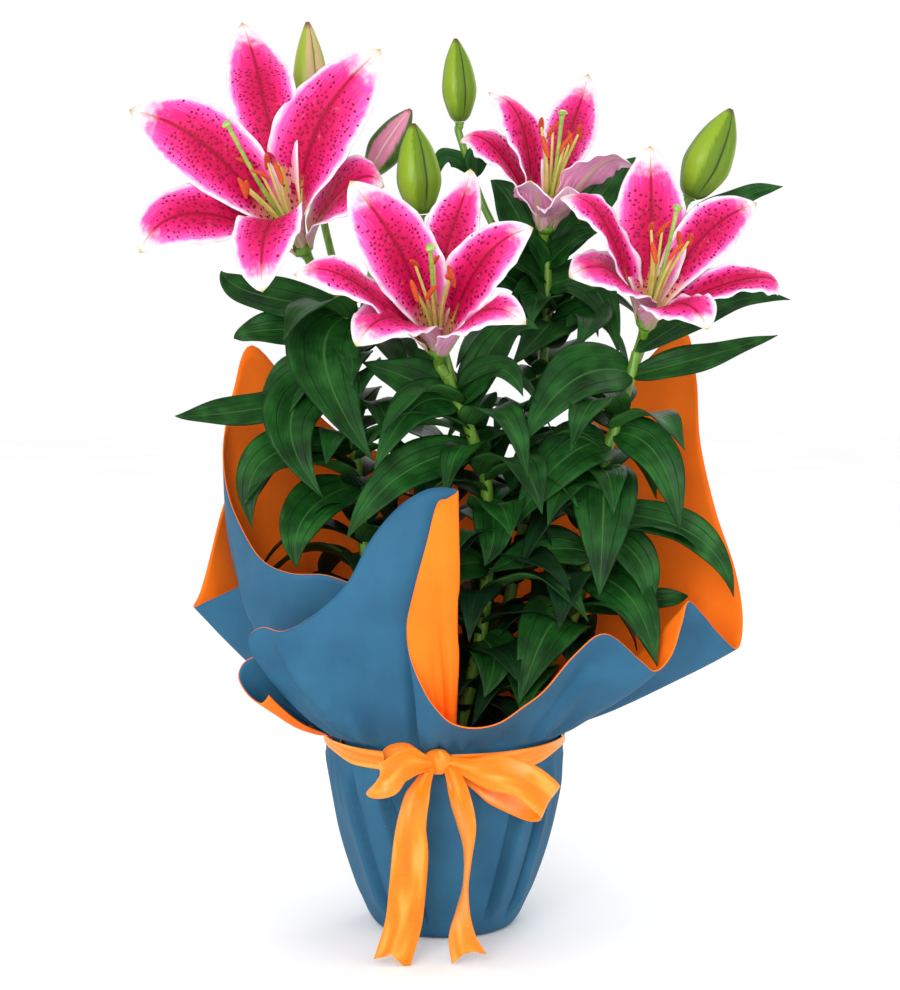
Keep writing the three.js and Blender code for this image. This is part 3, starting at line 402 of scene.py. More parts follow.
def strip_at(path, widths, u, v, notch=0, both_ends=False):
    """A ribbon along path, drawn together in small pleats where it enters the knot."""
    w = 2 * u - 1
    step = 0.01
    centre = Vector(along(path, v))
    ahead = (Vector(along(path, min(v + step, 1))) - Vector(along(path, max(v - step, 0)))).normalized()
    across = Vector(along(widths, v))
    across = (across - ahead * across.dot(ahead)).normalized()
    normal = ahead.cross(across)
    drawn = 1 - smoothstep(v, 0.02, 0.22)
    if both_ends:
        drawn = max(drawn, smoothstep(v, 0.8, 0.98))
    half = RIBBON_WIDTH / 2 * (1 - 0.6 * drawn)
    pleats = 1.2 * drawn * cos(3 * pi * w + 0.6)
    cup = 1.8 * (1 - drawn) * (1 - w * w)
    end = notch * (1 - abs(w)) * smoothstep(v, 0.93, 1)
    point = centre + across * (w * half) + normal * (pleats + cup) + UP * end
    point.z = max(point.z, 0.5)
    return point


def blank(*names):
    """A mesh in the making, and its point layers of those names."""
    bm = bmesh.new()
    return bm, *(bm.verts.layers.float_vector.new(name) for name in names)


# Satin ribbon: long floats of filament yarn across the width, so the sheen is soft and broad, with
# fine cross ribs. Lengthwise bands of painted highlight and painted shade, and a paler painted glow
# where the cloth turns away from the view, stand in for the satin's sheen. The ribs are drawn at
# 0.8 mm, twice the real size, so that they show.
look = Finish("woven_satin_ribbon")
flat = look.layer("flat")
yarn = look.noise(look.scaled(flat, 0.08, 1.25, 1), 1, 3)
slow = look.noise(look.scaled(flat, 0.11, 0.022, 1), 1, 1)
base = look.ramp(yarn, (0.3, "#F07000"), (0.55, "#F57C02"), (0.75, "#F8880C"))
# Lengthwise bands of painted highlight and painted shade along the ribbon.
painted_sheen_bands = look.ramp(slow, (0.36, "#EC6400"), (0.5, "#F57C04"), (0.64, "#FFAA50"))
# A painted pale glow where the surface turns away from the view: painted sheen.
edge = look.node("LayerWeight", "Facing", {"Blend": 0.35})
painted_sheen_colour = look.mix(edge, look.mix(0.55, base, painted_sheen_bands), "#FFA840")
satin = look.surface(painted_sheen_colour, look.span(slow, 0, 1, 0.24, 0.32), IOR=1.5, specular=0.3, Anisotropic=0.6,
                     Normal=look.bump(yarn, 0.04, 0.0002))

bow = []
for kind, lengths, rows, ends in (("loop", LOOP_LENGTHS, LOOPS, {"both_ends": True}),
                                  ("tail", TAIL_LENGTHS, TAILS, {"notch": NOTCH})):
    for side, length, (path, widths) in zip(("left", "right"), lengths, rows):
        bm, layer = blank("flat")
        surface(bm, 14, 72, lambda u, v: strip_at(path, widths, u, v, **ends),
                lambda u, v: {layer: (u * RIBBON_WIDTH, v * length, 0)})
        bow.append(piece(f"ribbon_{kind}_{side}", bm, [satin], "ribbon", "ribbon"))


def band_at(u, v):
    """The band lies round the gathered neck, with slight pulls along it."""
    radius, low, high = BAND
    angle = tau * u
    pull = 0.35 * sin(5 * pi * v + 2 * sin(3 * angle)) * (0.5 + 0.5 * sin(2 * angle))
    low += BAND_TAPER * smoothstep(abs(cos(angle)), 0.7, 1)
    return round_at(angle, radius + 0.4 + pull, low + (high - low) * v)


bm, layer = blank("flat")
surface(bm, 192, 12, band_at, lambda u, v: {layer: (v * RIBBON_WIDTH, BAND_LENGTH * u, 0)})
bow.append(piece("ribbon_band", bm, [satin], "ribbon", "ribbon"))
for strip, length in zip(bow, (*LOOP_LENGTHS, *TAIL_LENGTHS, BAND_LENGTH)):
    thicken(strip, "satin_thickness", SATIN, far=0)


def knot_at(u, v):
    """The knot: a short turn of ribbon drawn tight, with pleats that run over it."""
    (x, y, z), (a, b, c) = KNOT
    turn, lift = tau * u, pi * (v - 0.5)
    pleat = 1 + 0.13 * cos(lift) * sin(5 * turn + 6 * v) + 0.1 * cos(2 * turn)
    return Vector((x + a * pleat * cos(lift) * cos(turn),
                   y + b * pleat * cos(lift) * sin(turn), z + c * sin(lift)))


bm, layer = blank("flat")
surface(bm, 64, 24, knot_at, lambda u, v: {layer: (u * 60, v * RIBBON_WIDTH, 0)})
piece("ribbon_knot", bm, [satin], "ribbon", "ribbon")

# Stems and stalks. Round green shoots, firm and smooth, each in its own hole in the soil; the stalks
# of the blooms and buds branch off near the top.
BULB_TOP = 84.35
STEM_RADII, STALK_RADIUS = (4.6, 4.6, 3.6), 2.8
STEMS = [
    [(5, -32, 104), (5, -32, 126), (20, -30, 185), (30, -31, 250), (30, -33, 318), (25, -36, 340),
     (18, -40, 361), (9, -44, 382), (2, -47, 400)],
    [(36, -4, 104), (36, -4, 126), (66, -10, 175), (96, -14, 238), (113, -18, 335), (121, -20, 361),
     (130, -21, 392), (136, -19, 415)],
    [(13, 30, 104), (13, 30, 126), (34, 35, 180), (56, 40, 270), (70, 44, 380), (75, 44, 450), (75, 44, 480)],
    [(-30, 10, 104), (-30, 10, 126), (-46, 16, 200), (-62, 20, 300), (-66, 20, 380), (-68, 16, 430),
     (-80, 10, 462)],
]
# Each bloom: its stem, its receptacle and its stigma, then its tepals, the three inner ones first. A
# tepal has its tip, its half width, the pitch of its tip above the plane across the bloom and the twist
# of its blade in degrees, then, as parts of its length, how far it rises along the bloom's axis before
# it turns out and how far it bows to the side.
BLOOMS = [
    (3, (-99, 1, 485), (-148, -62, 571),
     [(-220, -23, 584, 27, 15, -25, 0.5, 0), (-44, -31, 625, 30, 5, 35, 0.4, 0),
      (-121, -105, 457, 23, -55, -10, 0.6, 0.1), (-146, 33, 651, 23, 15, 20, 0.65, -0.1),
      (-209, -57, 484, 24, -40, -35, 0.45, 0), (-42, -35, 530, 26, -90, 10, 0.3, 0.05)]),
    (0, (-4, -50, 415), (-9, -120, 486),
     [(-63, -97, 531, 26, 30, -10, 0.45, 0), (60, -90, 500, 20, -15, 20, 0.3, 0),
      (-57, -153, 422, 22, -15, 0, 0.3, -0.05), (18, -63, 541, 18, 75, 30, 0.65, 0.05),
      (53, -155, 436, 19, -30, 5, 0.15, -0.05), (-99, -118, 468, 18, -45, 0, 0.3, 0.1)]),
    (2, (73, 39, 501), (84, 5, 584),
     [(108, 96, 621, 19, 50, 15, 0.55, 0), (11, 27, 565, 18, -60, -15, 0.25, 0.05),
      (87, -12, 532, 18, 75, 10, 0.35, 0.1), (32, 31, 601, 18, -5, -10, 0.3, 0),
      (134, 4, 546, 18, -45, -40, 0.4, -0.1), (61, -4, 536, 18, 40, 5, 0.4, 0)]),
    (1, (142, -15, 432), (159, -68, 514),
     [(145, -12, 560, 25, 45, -10, 0.35, 0), (233, -33, 455, 18, -90, 0, 0.3, 0),
      (85, -78, 467, 26, -35, 0, 0.3, -0.05), (224, 14, 521, 19, -5, 35, 0.5, 0),
      (177, -97, 432, 20, -45, 15, 0.3, -0.1), (80, -36, 522, 18, -45, 0, 0.35, 0.05)]),
]
# Each bud: its stem, where its stalk leaves it, the stalk's bend, the bud's base, tip and radius.
BUDS = [
    (3, (-68, 16, 432), (-86, 36, 500), (-97, 38, 565), (-99, 35, 652), 13.5),
    (2, (75, 44, 452), (34, 54, 510), (11, 60, 583), (8, 60, 643), 12.5),
    (0, (12, -43, 376), (-6, -28, 440), (-17, -20, 512), (-22, -22, 575), 15.5),
    (3, (-67, 18, 415), (-52, 24, 480), (-53, 22, 543), (-24, 16, 588), 12.5),
    (1, (128, -20, 386), (154, 14, 450), (176, 14, 526), (205, 14, 588), 17),
]


def profile(values, t):
    """A smooth curve through a row of numbers, read at t from 0 to 1."""
    return along([(value,) for value in values], t)[0]


def rolled(bm, around, ahead, centre, radius, shape=lambda angle, t: 1, marks=None, index=0):
    """A tube round the line centre(t), from a grid rolled up and closed at both ends."""
    rows = [Vector(centre(k / ahead)) for k in range(ahead + 1)]
    axes = [(rows[min(k + 1, ahead)] - rows[max(k - 1, 0)]).normalized() for k in range(ahead + 1)]
    first = (rows[1] - rows[0]).normalized()
    right = UP.cross(first) if abs(first.z) < 0.9 else Vector((1, 0, 0))
    rights = []
    for axis in axes:
        right = (right - axis * right.dot(axis)).normalized()
        rights.append(right)

    def tube_at(u, v):
        k, angle = round(v * ahead), tau * u
        r = radius(v) * shape(angle, v)
        left = axes[k].cross(rights[k])
        return rows[k] + rights[k] * (r * cos(angle)) + left * (r * sin(angle))

    grid = surface(bm, around, ahead, tube_at, marks, index)
    open_edges = {edge for vert in grid if vert.is_valid for edge in vert.link_edges if edge.is_boundary}
    if open_edges:
        bmesh.ops.holes_fill(bm, edges=list(open_edges), sides=0)


def stem_point(curve, z):
    """The point of a stem's centreline at height z."""
    low, high = 0.0, 1.0
    for _ in range(30):
        t = (low + high) / 2
        low, high = (t, high) if along(curve, t)[2] < z else (low, t)
    return Vector(along(curve, low))


# Green shoot: smooth waxy skin, yellow-green, paler and finely striped lengthwise.
shoot = grained("waxy_green_shoot", 2.4, 2, 0.03, [(0.35, "#4E7A1C"), (0.5, "#608C24"), (0.65, "#729C2E")],
                0.42, (0.08, 0.0003), soft=0.08)

for stem, curve in enumerate(STEMS):
    bm = bmesh.new()
    points = [(*curve[0][:2], BULB_TOP), *curve]
    rolled(bm, 14, 64, lambda t: along(points, t), lambda t: profile(STEM_RADII, t))
    # A stalk's rings, its start, the base and tip of what it bears, its two radii and where it swells.
    stalks = [(20, [stem_point(curve, curve[-1][2] - 6)], base, stigma, 3.6, 4.4, 0.6)
              for owner, base, stigma, tepals in BLOOMS if owner == stem]
    stalks += [(32, [leave, bend], base, tip, STALK_RADIUS, radius * 0.3, 0.75)
               for owner, leave, bend, base, tip, radius in BUDS if owner == stem]
    for rings, line, base, tip, thin, wide, swell in stalks:
        base, axis = Vector(base), (Vector(tip) - Vector(base)).normalized()
        line += [base - axis * back for back in (12, 4, 0.7)]
        rolled(bm, 12, rings, lambda t: along(line, t),
               lambda t: thin + (wide - thin) * smoothstep(t, swell, 1))
    piece(f"shoot_{stem + 1}", bm, [shoot], "foliage", f"stem_{stem + 1}")

# Leaves. Glossy dark green straps with a keel along the midrib and arched parallel veins; they clasp
# the stem alternately and droop at the tips. Each lies where the solid leaf found a clear place.
# The leaves that make the outline: the stem, the height on it, the leaf's middle, its tip, half width.
LEAVES = [
    (3, 385, -148, -5, 372, -191, -20, 370, 14), (3, 430, -127, 5, 430, -151, 5, 424, 15),
    (3, 446, -136, 12, 456, -161, 15, 473, 17), (3, 440, -84, -28, 406, -49, -62, 341, 28),
    (3, 400, -108, -25, 370, -84, -52, 314, 23), (3, 345, -128, -10, 338, -136, -24, 290, 18),
    (3, 318, -98, -32, 300, -103, -52, 265, 20), (3, 372, -104, 30, 402, -138, 44, 372, 16),
    (0, 378, -20, -60, 378, -48, -84, 335, 18), (0, 348, -31, -60, 330, -67, -80, 288, 18),
    (0, 312, 30, -60, 288, 21, -70, 258, 15), (0, 380, 36, -64, 404, 54, -78, 386, 14),
    (0, 212, 30, -60, 200, 19, -78, 168, 19), (0, 265, 0, -62, 262, -22, -78, 226, 17),
    (1, 398, 185, -22, 412, 237, -12, 427, 12), (1, 415, 200, 16, 448, 249, 12, 452, 12),
    (1, 400, 90, -48, 396, 54, -70, 353, 24), (1, 350, 82, -50, 340, 46, -82, 294, 22),
    (1, 335, 111, -52, 305, 107, -72, 247, 24), (1, 358, 150, -36, 340, 165, -46, 284, 18),
    (1, 300, 176, -20, 286, 205, -32, 242, 15), (1, 288, 138, -34, 270, 141, -50, 238, 15),
    (1, 255, 130, -46, 244, 147, -74, 200, 20), (1, 232, 152, -4, 236, 175, -12, 240, 10),
    (1, 272, 62, -48, 270, 17, -76, 238, 19), (1, 222, 72, -58, 222, 51, -84, 174, 24),
    (2, 466, 50, 36, 524, 32, 34, 552, 17), (2, 478, 116, 46, 530, 140, 48, 556, 16),
    (2, 440, 40, 20, 470, 8, 2, 452, 20), (2, 420, 104, 10, 440, 92, -26, 418, 20),
    (2, 430, 74, 6, 433, 47, -18, 405, 21), (2, 450, 66, 24, 458, 46, 4, 452, 17),
    (2, 460, 107, 26, 461, 125, 2, 413, 18), (2, 472, 62, 26, 495, 48, 12, 496, 10),
    (2, 476, 94, 28, 495, 112, 18, 501, 12), (2, 456, 55, 22, 475, 38, 6, 479, 14),
    (2, 446, 103, 30, 476, 119, 14, 473, 13), (0, 372, 39, -44, 426, 67, -36, 431, 14),
    (0, 380, -25, -36, 396, -60, -30, 408, 19), (0, 366, -8, -18, 398, -19, -4, 418, 15),
]
# The small leaves on the buds' stalks: the bud, the place on its stalk, the middle, tip, half width.
BRACTS = [
    (1, 0.72, (2, 52, 556), (-4, 44, 542), 9), (1, 0.7, (27, 52, 560), (41, 46, 548), 9),
    (3, 0.8, (-55, 26, 574), (-27, 25, 597), 6), (4, 0.8, (212, 32, 524), (246, 34, 534), 11),
]
# The leaves inside the plant: how many on each stem, between which heights, and their ranges.
FILL_COUNTS, FILL_FROM, FILL_TO = (13, 14, 15, 12), 150, (370, 385, 450, 420)
FILL_LENGTH, FILL_WIDTH, FILL_DROOP = (88, 120), (17, 24), (12, 44)
# How a leaf may have been bent clear of its neighbours: turn in degrees, lift of the tip, length kept.
BENDS = [
    (0, 0, 1), (0, 6, 1), (0, -6, 1), (6, 0, 1), (-6, 0, 1), (10, 8, 0.96), (-10, 8, 0.96), (12, -8, 0.94),
    (-12, -8, 0.94), (20, 0, 0.9), (-20, 0, 0.9), (0, 20, 0.85), (0, -16, 0.85), (32, 10, 0.8),
    (-32, 10, 0.8),
]
# A leaf that found no clear place has no solid within this distance of its midrib.
LEAF_MISS, LEAF_THICKNESS = 3.0, 0.8
GOLDEN_ANGLE = radians(137.5)
FRONT = Vector((0, -0.8, 0.6))
draw = 20417


def drawn_from(low, high):
    """The next of the draws that also placed the solid leaves."""
    global draw
    draw = draw * 16807 % 2147483647
    return low + (high - low) * draw / 2147483647


def ripple(t, waves, phase):
    return sin(tau * waves * t + phase) * sin(pi * t)


def search_tree(name):
    """The faces of a node's solid, to search for the nearest or for one in the way."""
    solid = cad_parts[name].data
    return BVHTree.FromPolygons([vert.co / MM for vert in solid.vertices],
                                [face.vertices[:] for face in solid.polygons])


def bent_leaf(root, middle, tip, bend):
    """The middle and tip of a leaf after one of the bends."""
    turn, lift, keep = bend
    spin = Matrix.Rotation(radians(turn), 3, "Z")
    return [root + spin @ (p - root) * keep + UP * (lift * share) for p, share in ((middle, 0.3), (tip, 1))]


def leaf_miss(solid, root, middle, tip, bend):
    """How far the midrib of a leaf so bent lies from the solid."""
    middle, tip = bent_leaf(root, middle, tip, bend)
    control = middle * 2 - root / 2 - tip / 2
    return sum(solid.find_nearest(arc(root, control, tip, t))[3] for t in (0.5, 0.75, 1)) / 3


def leaf_size(half_width, t):
    return half_width * (t + 0.003) ** 0.55 * max(1 - t, 0) ** 1.1 / 0.3586


def leaf_at(root, middle, tip, half_width, face, phase, u, v):
    """A leaf's upper surface: a rounded keel along the midrib, and waved edges."""
    w = 2 * u - 1
    control = middle * 2 - root / 2 - tip / 2
    ahead = (control - root).lerp(tip - control, v)
    side = ahead.cross(face).normalized()
    normal = side.cross(ahead).normalized()
    half = leaf_size(half_width, v)
    wave = 2.2 * ripple(v, 1.6, phase + (1.3 if w > 0 else 0))
    keel = (sqrt(w * w + 0.02) - 0.141) / 0.869
    rise = keel * 0.22 * half + abs(w) ** 1.5 * wave
    return arc(root, control, tip, v) + side * (w * half) + normal * rise


def grow(bm, layers, grid, leaf, flat_size, seed, index=0):
    """Adds a leaf to bm, with its points' places across the blade and on the flat leaf. flat_size is that
    leaf's half width and length, and the seed gives it streaks of its own."""
    blade, flat = layers
    half_width, length = flat_size
    surface(bm, *grid, lambda u, v: leaf_at(*leaf, u, v), lambda u, v: {
        blade: (2 * u - 1, 0, 0),
        flat: ((2 * u - 1) * leaf_size(half_width, v), v * length, seed)}, index)


def foliage(kind, stem, bm, materials):
    leaves = piece(f"{kind}_{stem + 1}", bm, materials, "foliage", f"stem_{stem + 1}")
    thicken(leaves, "leaf_thickness", LEAF_THICKNESS)


# Lily leaf: dark green with a waxy gloss, a pale sunken midrib and six fainter veins that arch from
# root to tip. The inner leaves low in the plant are darker, which is painted shade. The underside is
# duller and paler.
def leaf_blade(name, deep, body, light, vein, roughness):
    look = Finish(name)
    flat = look.layer("flat")
    # The veins lie at equal steps across the blade, so they arch with its edges.
    w = look.math("ABSOLUTE", look.axes(look.layer("blade"))["X"])
    veins = look.span(look.math("PINGPONG", look.math("MULTIPLY", w, 4.0), 1.0), 0.16, 0, smooth=True)
    midrib = look.span(w, 0.06, 0, smooth=True)
    streak = look.noise(look.scaled(flat, 0.9, 0.06, 1), 1, 3)
    tone = look.math("MULTIPLY_ADD", streak, 0.4, look.noise(flat, 0.05, 2))
    green = look.ramp(tone, (0.45, deep), (0.7, body), (0.95, light))
    line = look.math("MULTIPLY", veins, 0.75)
    tint = look.mix(look.math("MULTIPLY", midrib, 0.45), look.mix(line, green, deep), vein)
    relief = look.math("MULTIPLY_ADD", look.math("ADD", line, midrib, clamp=True), -1.2, streak)
    return look.surface(tint, roughness, IOR=1.4, specular=0.22, Normal=look.bump(relief, 0.5, 0.0008))


leaf_top = leaf_blade("glossy_leaf_upper", "#0A280A", "#154416", "#266024", "#548844", 0.42)
leaf_under = leaf_blade("dull_leaf_underside", "#1C4418", "#2A5A24", "#3A6E30", "#5A8C48", 0.6)
# Darker copies of the leaf for the inner leaves: painted shade, for the shade in the plant's middle.
shade_painted_leaf_top = leaf_blade("shaded_inner_leaf", "#05160A", "#0A2610", "#123818", "#264E24", 0.5)
shade_painted_leaf_under = leaf_blade("shaded_inner_leaf_underside", "#0A2010", "#123018", "#1A4020", "#2C5428", 0.65)

for stem, curve in enumerate(STEMS):
    wanted = [(stem_point(curve, row[1]), Vector(row[2:5]), Vector(row[5:8]), row[8], FRONT, i * 1.7)
              for i, row in enumerate(LEAVES) if row[0] == stem]
    wanted += [(Vector(along(BUDS[owner][1:4], share)), Vector(middle), Vector(tip), half_width, FRONT, 0)
               for owner, share, middle, tip, half_width in BRACTS if BUDS[owner][0] == stem]
    for i in range(FILL_COUNTS[stem]):
        share = (i + 0.5) / FILL_COUNTS[stem]
        root = stem_point(curve, FILL_FROM + (FILL_TO[stem] - FILL_FROM) * share)
        angle = i * GOLDEN_ANGLE + stem * 1.9 + drawn_from(-0.3, 0.3)
        length = drawn_from(*FILL_LENGTH) * (1 - 0.25 * share)
        droop = drawn_from(*FILL_DROOP) * (1 - 0.5 * share)
        half_width = drawn_from(*FILL_WIDTH)
        way = round_at(angle, 1)
        wanted.append((root, root + way * (length * 0.52) + UP * (length * 0.16),
                       root + way * (length * 0.92) - UP * droop, half_width, way * 0.5 + UP,
                       drawn_from(0, tau)))
    bm, *layers = blank("blade", "flat")
    solid = search_tree(f"stem_{stem + 1}")
    for number, (root, middle, tip, half_width, face, phase) in enumerate(wanted):
        bend = min(BENDS, key=lambda each: leaf_miss(solid, root, middle, tip, each))
        if leaf_miss(solid, root, middle, tip, bend) > LEAF_MISS:
            continue
        middle, tip = bent_leaf(root, middle, tip, bend)
        leaf = (root, middle, tip, half_width * bend[2] ** 0.5, face, phase)
        grow(bm, layers, (10, 26), leaf, (half_width, (tip - root).length), 37.0 * number)
    foliage("leaves", stem, bm, [leaf_top, leaf_under])

# Inner leaves. Shorter leaves between the ones above, which close the plant's middle; each grows
# from its stem and ends short of the wrap. The lower ones take a darker copy of the leaf, which is
# painted shade for the plant's shaded middle.
INNER_COUNTS, INNER_FROM, INNER_TO = (32, 28, 34, 46), 140, (390, 402, 468, 454)
INNER_DROOP = (0, 34)
INNER_LENGTH, INNER_WIDTH = (58, 92), (14, 21)
WRAP_GAP, SHORTEST, FURTHEST = 9, 32, 140
# The inner leaves above this share of the stem's height take the normal leaf; those below take the darker
# copy with painted shade.
SHADE_PAINTED_BELOW = 0.6
wall = search_tree("wrap")
for stem, curve in enumerate(STEMS):
    bm, *layers = blank("blade", "flat")
    for i in range(INNER_COUNTS[stem]):
        share = (i + 0.5) / INNER_COUNTS[stem]
        root = stem_point(curve, INNER_FROM + (INNER_TO[stem] - INNER_FROM) * share)
        way = round_at(i * GOLDEN_ANGLE + stem * 2.3 + 0.9, 1)
        length, half_width = drawn_from(*INNER_LENGTH), drawn_from(*INNER_WIDTH)
        droop, phase = drawn_from(*INNER_DROOP), drawn_from(0, tau)
        fall = (way * (0.92 * length) - UP * droop).normalized()
        for aim in (fall, (way * 0.52 + UP * 0.16).normalized()):
            hit = wall.ray_cast(root, aim, length + WRAP_GAP)
            if hit[0]:
                length = min(length, hit[3] - WRAP_GAP)
        tip = root + fall * (0.95 * length)
        if length < SHORTEST or abs(tip.x) > FURTHEST:
            continue
        middle = root + way * (length * 0.5) + UP * (length * 0.14)
        leaf = (root, middle, tip, half_width, way * 0.5 + UP, phase)
        grow(bm, layers, (8, 16), leaf, (half_width, length), 41.0 * i, 2 if share > SHADE_PAINTED_BELOW else 0)
    foliage("inner_leaves", stem, bm, [shade_painted_leaf_top, shade_painted_leaf_under, leaf_top, leaf_under])

# Blooms. Six tepals in two layers of three on a small green cup. Each is a fleshy blade with a groove
# along its middle and a frilled edge: crimson in the middle, pink further out, with a white margin,
# dark spots and raised points in the lower half, and a pale back.
TEPAL_FRILL, TEPAL_THICKNESS = 1.3, 1.0
CUP_HEIGHT, CUP = 9, (4.6, 7.2, 7.4, 5.6)


def tepal_shape(base, axis, tip, pitch, rise, bow, seat):
    """The centreline's four control points and the direction across a tepal."""
    reach = tip - base
    length = reach.length
    outwards = (reach - axis * reach.dot(axis)).normalized()
    side = axis.cross(outwards)
    start = base + outwards * seat + axis * 2
    first = start + axis * (rise * length) + outwards * (0.1 * length + seat - 3.6) + side * (bow * length)
    turned = outwards * cos(pitch) + axis * sin(pitch)
    last = tip - turned * (0.38 * length) + side * (bow * length)
    return (start, first, last, tip), side


def tepal_size(half_width, t):
    return half_width * (t + 0.02) ** 1.1 * max(1 - t, 0) ** 0.8 / 0.2744


def tepal_at(line, side, twist, half_width, phase, u, v):
    """A tepal's inner surface: cupped near the throat, reflexed at the tip, with a frilled edge."""
    w = 1 - 2 * u
    a, b, c, d = line
    t = min(v, 0.999)
    tangent = (b - a) * (1 - t) ** 2 + (c - b) * (2 * t * (1 - t)) + (d - c) * t ** 2
    across = Matrix.Rotation(twist * smoothstep(v, 0, 0.5), 3, tangent) @ side
    inwards = tangent.cross(across).normalized()
    half = tepal_size(half_width, v)
    cup = 0.5 - 0.8 * smoothstep(v, 0.05, 0.95)
    late = 2 if w > 0 else 0
    wave = 2.6 * w * w * ripple(v, 2.1, phase + late)
    frill = TEPAL_FRILL * w ** 6 * ripple(v, 7.3, 2.3 * phase + late)
    groove = 1.1 * exp(-(7 * w) ** 2) * sin(pi * v)
    ridge = 0.5 * exp(-(9 * (abs(w) - 0.2)) ** 2) * sin(pi * v)
    centre = a * (1 - v) ** 3 + b * (3 * v * (1 - v) ** 2) + c * (3 * v * v * (1 - v)) + d * v ** 3
    return centre + across * (w * half) + inwards * (cup * w * w * half + wave + frill + ridge - groove)


# Tepal, inner side: satiny flesh. The colours run into each other along fine streaks that follow the
# blade, and the spots are small raised points of 1 to 2 mm.
look = Finish("pink_tepal_inner")
flat, axes, marks = look.layer("flat"), look.axes(look.layer("petal")), look.axes(look.layer("blush"))
streak = look.noise(look.scaled(flat, 0.9, 0.05, 1), 1, 4, Roughness=0.6)
stir = look.math("SUBTRACT", streak, 0.5)
blush = look.math("MULTIPLY_ADD", stir, 0.7, marks["X"], clamp=True)
pink = look.ramp(blush, (0.0, "#E89CD0"), (0.24, "#E653A8"), (0.54, "#DA2074"), (1.0, "#B80846"))
mottle = look.math("SUBTRACT", look.noise(flat, 0.16, 3), 0.5)
whiten = look.math("MULTIPLY_ADD", stir, 0.5, look.math("MULTIPLY_ADD", mottle, 0.9, marks["Y"]))
tint = look.mix(look.span(whiten, 0.1, 0.95, smooth=True), pink, "#ECE0E8")
# The throat is cream, and the outermost tip a dull yellow.
tint = look.mix(look.span(axes["Y"], 0.26, 0.07), tint, "#E6C08A")
tint = look.mix(look.span(axes["Y"], 0.96, 1.0), tint, "#B9A868")
# The nectar furrow at the foot is green, and wider than the crimson rib above it.
rib = look.math("DIVIDE", look.math("ABSOLUTE", axes["X"]), look.span(axes["Y"], 0.08, 0.3, 0.3, 0.1))
ribbed = look.ramp(axes["Y"], (0.0, "#9FB03C"), (0.22, "#BDB84E"), (0.34, "#8A0226"), (0.84, "#9C062E"),
                   (0.97, "#DCC0A8"))
tint = look.mix(look.span(rib, 1.0, 0.15, smooth=True), tint, ribbed)
cells = look.node("TexVoronoi", None, {"Vector": flat, "Scale": 1 / 3.7, "Randomness": 0.85},
                  voronoi_dimensions="2D")
lot = look.node("SeparateColor", None, {"Color": cells["Color"]})
inside = look.math("SUBTRACT", look.span(lot["Green"], 0, 1, 0.16, 0.33), cells["Distance"])
spot = look.math("MULTIPLY", look.span(inside, -0.03, 0.05),
                 look.math("GREATER_THAN", marks["Z"], lot["Red"]))
relief = look.math("MULTIPLY_ADD", spot, 0.9, streak)
petal_inner = look.surface(look.mix(spot, tint, "#860838"), 0.5, soft=0.1, IOR=1.4, specular=0.2,
                           Normal=look.bump(relief, 0.55, 0.0007))

# Tepal, back: pale pink with a greenish keel near the foot and a near-white edge.
look = Finish("pale_tepal_back")
axes = look.axes(look.layer("petal"))
streak = look.noise(look.scaled(look.layer("flat"), 0.8, 0.05, 1), 1, 4)
tone = look.ramp(axes["Y"], (0.0, "#93A23C"), (0.14, "#B88E7C"), (0.36, "#BC6494"), (0.72, "#D080AC"),
                 (1.0, "#E8CCDA"))
tint = look.mix(look.span(streak, 0.35, 0.75), tone, "#DDAAC6")
keel = look.span(look.math("ABSOLUTE", axes["X"]), 0.2, 0.04, 0, 0.7, smooth=True)
stripe = look.ramp(axes["Y"], (0.0, "#86A038"), (0.45, "#A8A86A"), (0.9, "#CE90AC"))
petal_back = look.surface(look.mix(keel, tint, stripe), 0.55, soft=0.2, IOR=1.4, specular=0.3,
                          Normal=look.bump(streak, 0.5, 0.0006))

for bloom, (stem, base, stigma, tepals) in enumerate(BLOOMS):
    base, axis = Vector(base), (Vector(stigma) - Vector(base)).normalized()
    bm, petal, flat, blush = blank("petal", "flat", "blush")
    for i, (x, y, z, half_width, pitch, twist, rise, bow) in enumerate(tepals):
        seat = 3.6 if i < 3 else 6.6
        phase = i % 3 * 2.1 + seat
        line, side = tepal_shape(base, axis, Vector((x, y, z)), radians(pitch), rise, bow, seat)
        twist = radians(twist)
        length = (line[3] - line[0]).length * 1.12

        def colour_marks(u, v):
            """How crimson, how white and how spotted the tepal is there."""
            w = 1 - 2 * u
            half = tepal_size(half_width, v)
            margin = (1 - abs(w)) * half
            crimson = (1 - smoothstep(abs(w), 0.05, 0.9)) * smoothstep(v, 0.08, 0.3) * (
                1 - 0.85 * smoothstep(v, 0.5, 0.95)) + 0.25 * smoothstep(margin, 1, 6)
            white = max(1 - margin / (2 + 4.2 * v), 0.6 - 3 * v, 0.9 * smoothstep(v, 0.78, 1))
            spots = smoothstep(v, 0.1, 0.2) * (1 - smoothstep(v, 0.6, 0.86)) * (
                1 - smoothstep(abs(w), 0.6, 0.92))
            return {petal: (w, v, 0), flat: (w * half, v * length, 23.0 * (6 * bloom + i)),
                    blush: (crimson, white, 0.95 * spots)}

        surface(bm, 22, 44, lambda u, v: tepal_at(line, side, twist, half_width, phase, u, v), colour_marks)
    flower = piece(f"tepals_{bloom + 1}", bm, [petal_inner, petal_back], "tepal", f"bloom_{bloom + 1}_tepals")
    thicken(flower, "flesh_thickness", TEPAL_THICKNESS)
    bm = bmesh.new()
    rolled(bm, 24, 9, lambda t: base + axis * (CUP_HEIGHT * t), lambda t: profile(CUP, t))
    piece(f"receptacle_{bloom + 1}", bm, [shoot], "tepal", f"bloom_{bloom + 1}_tepals")

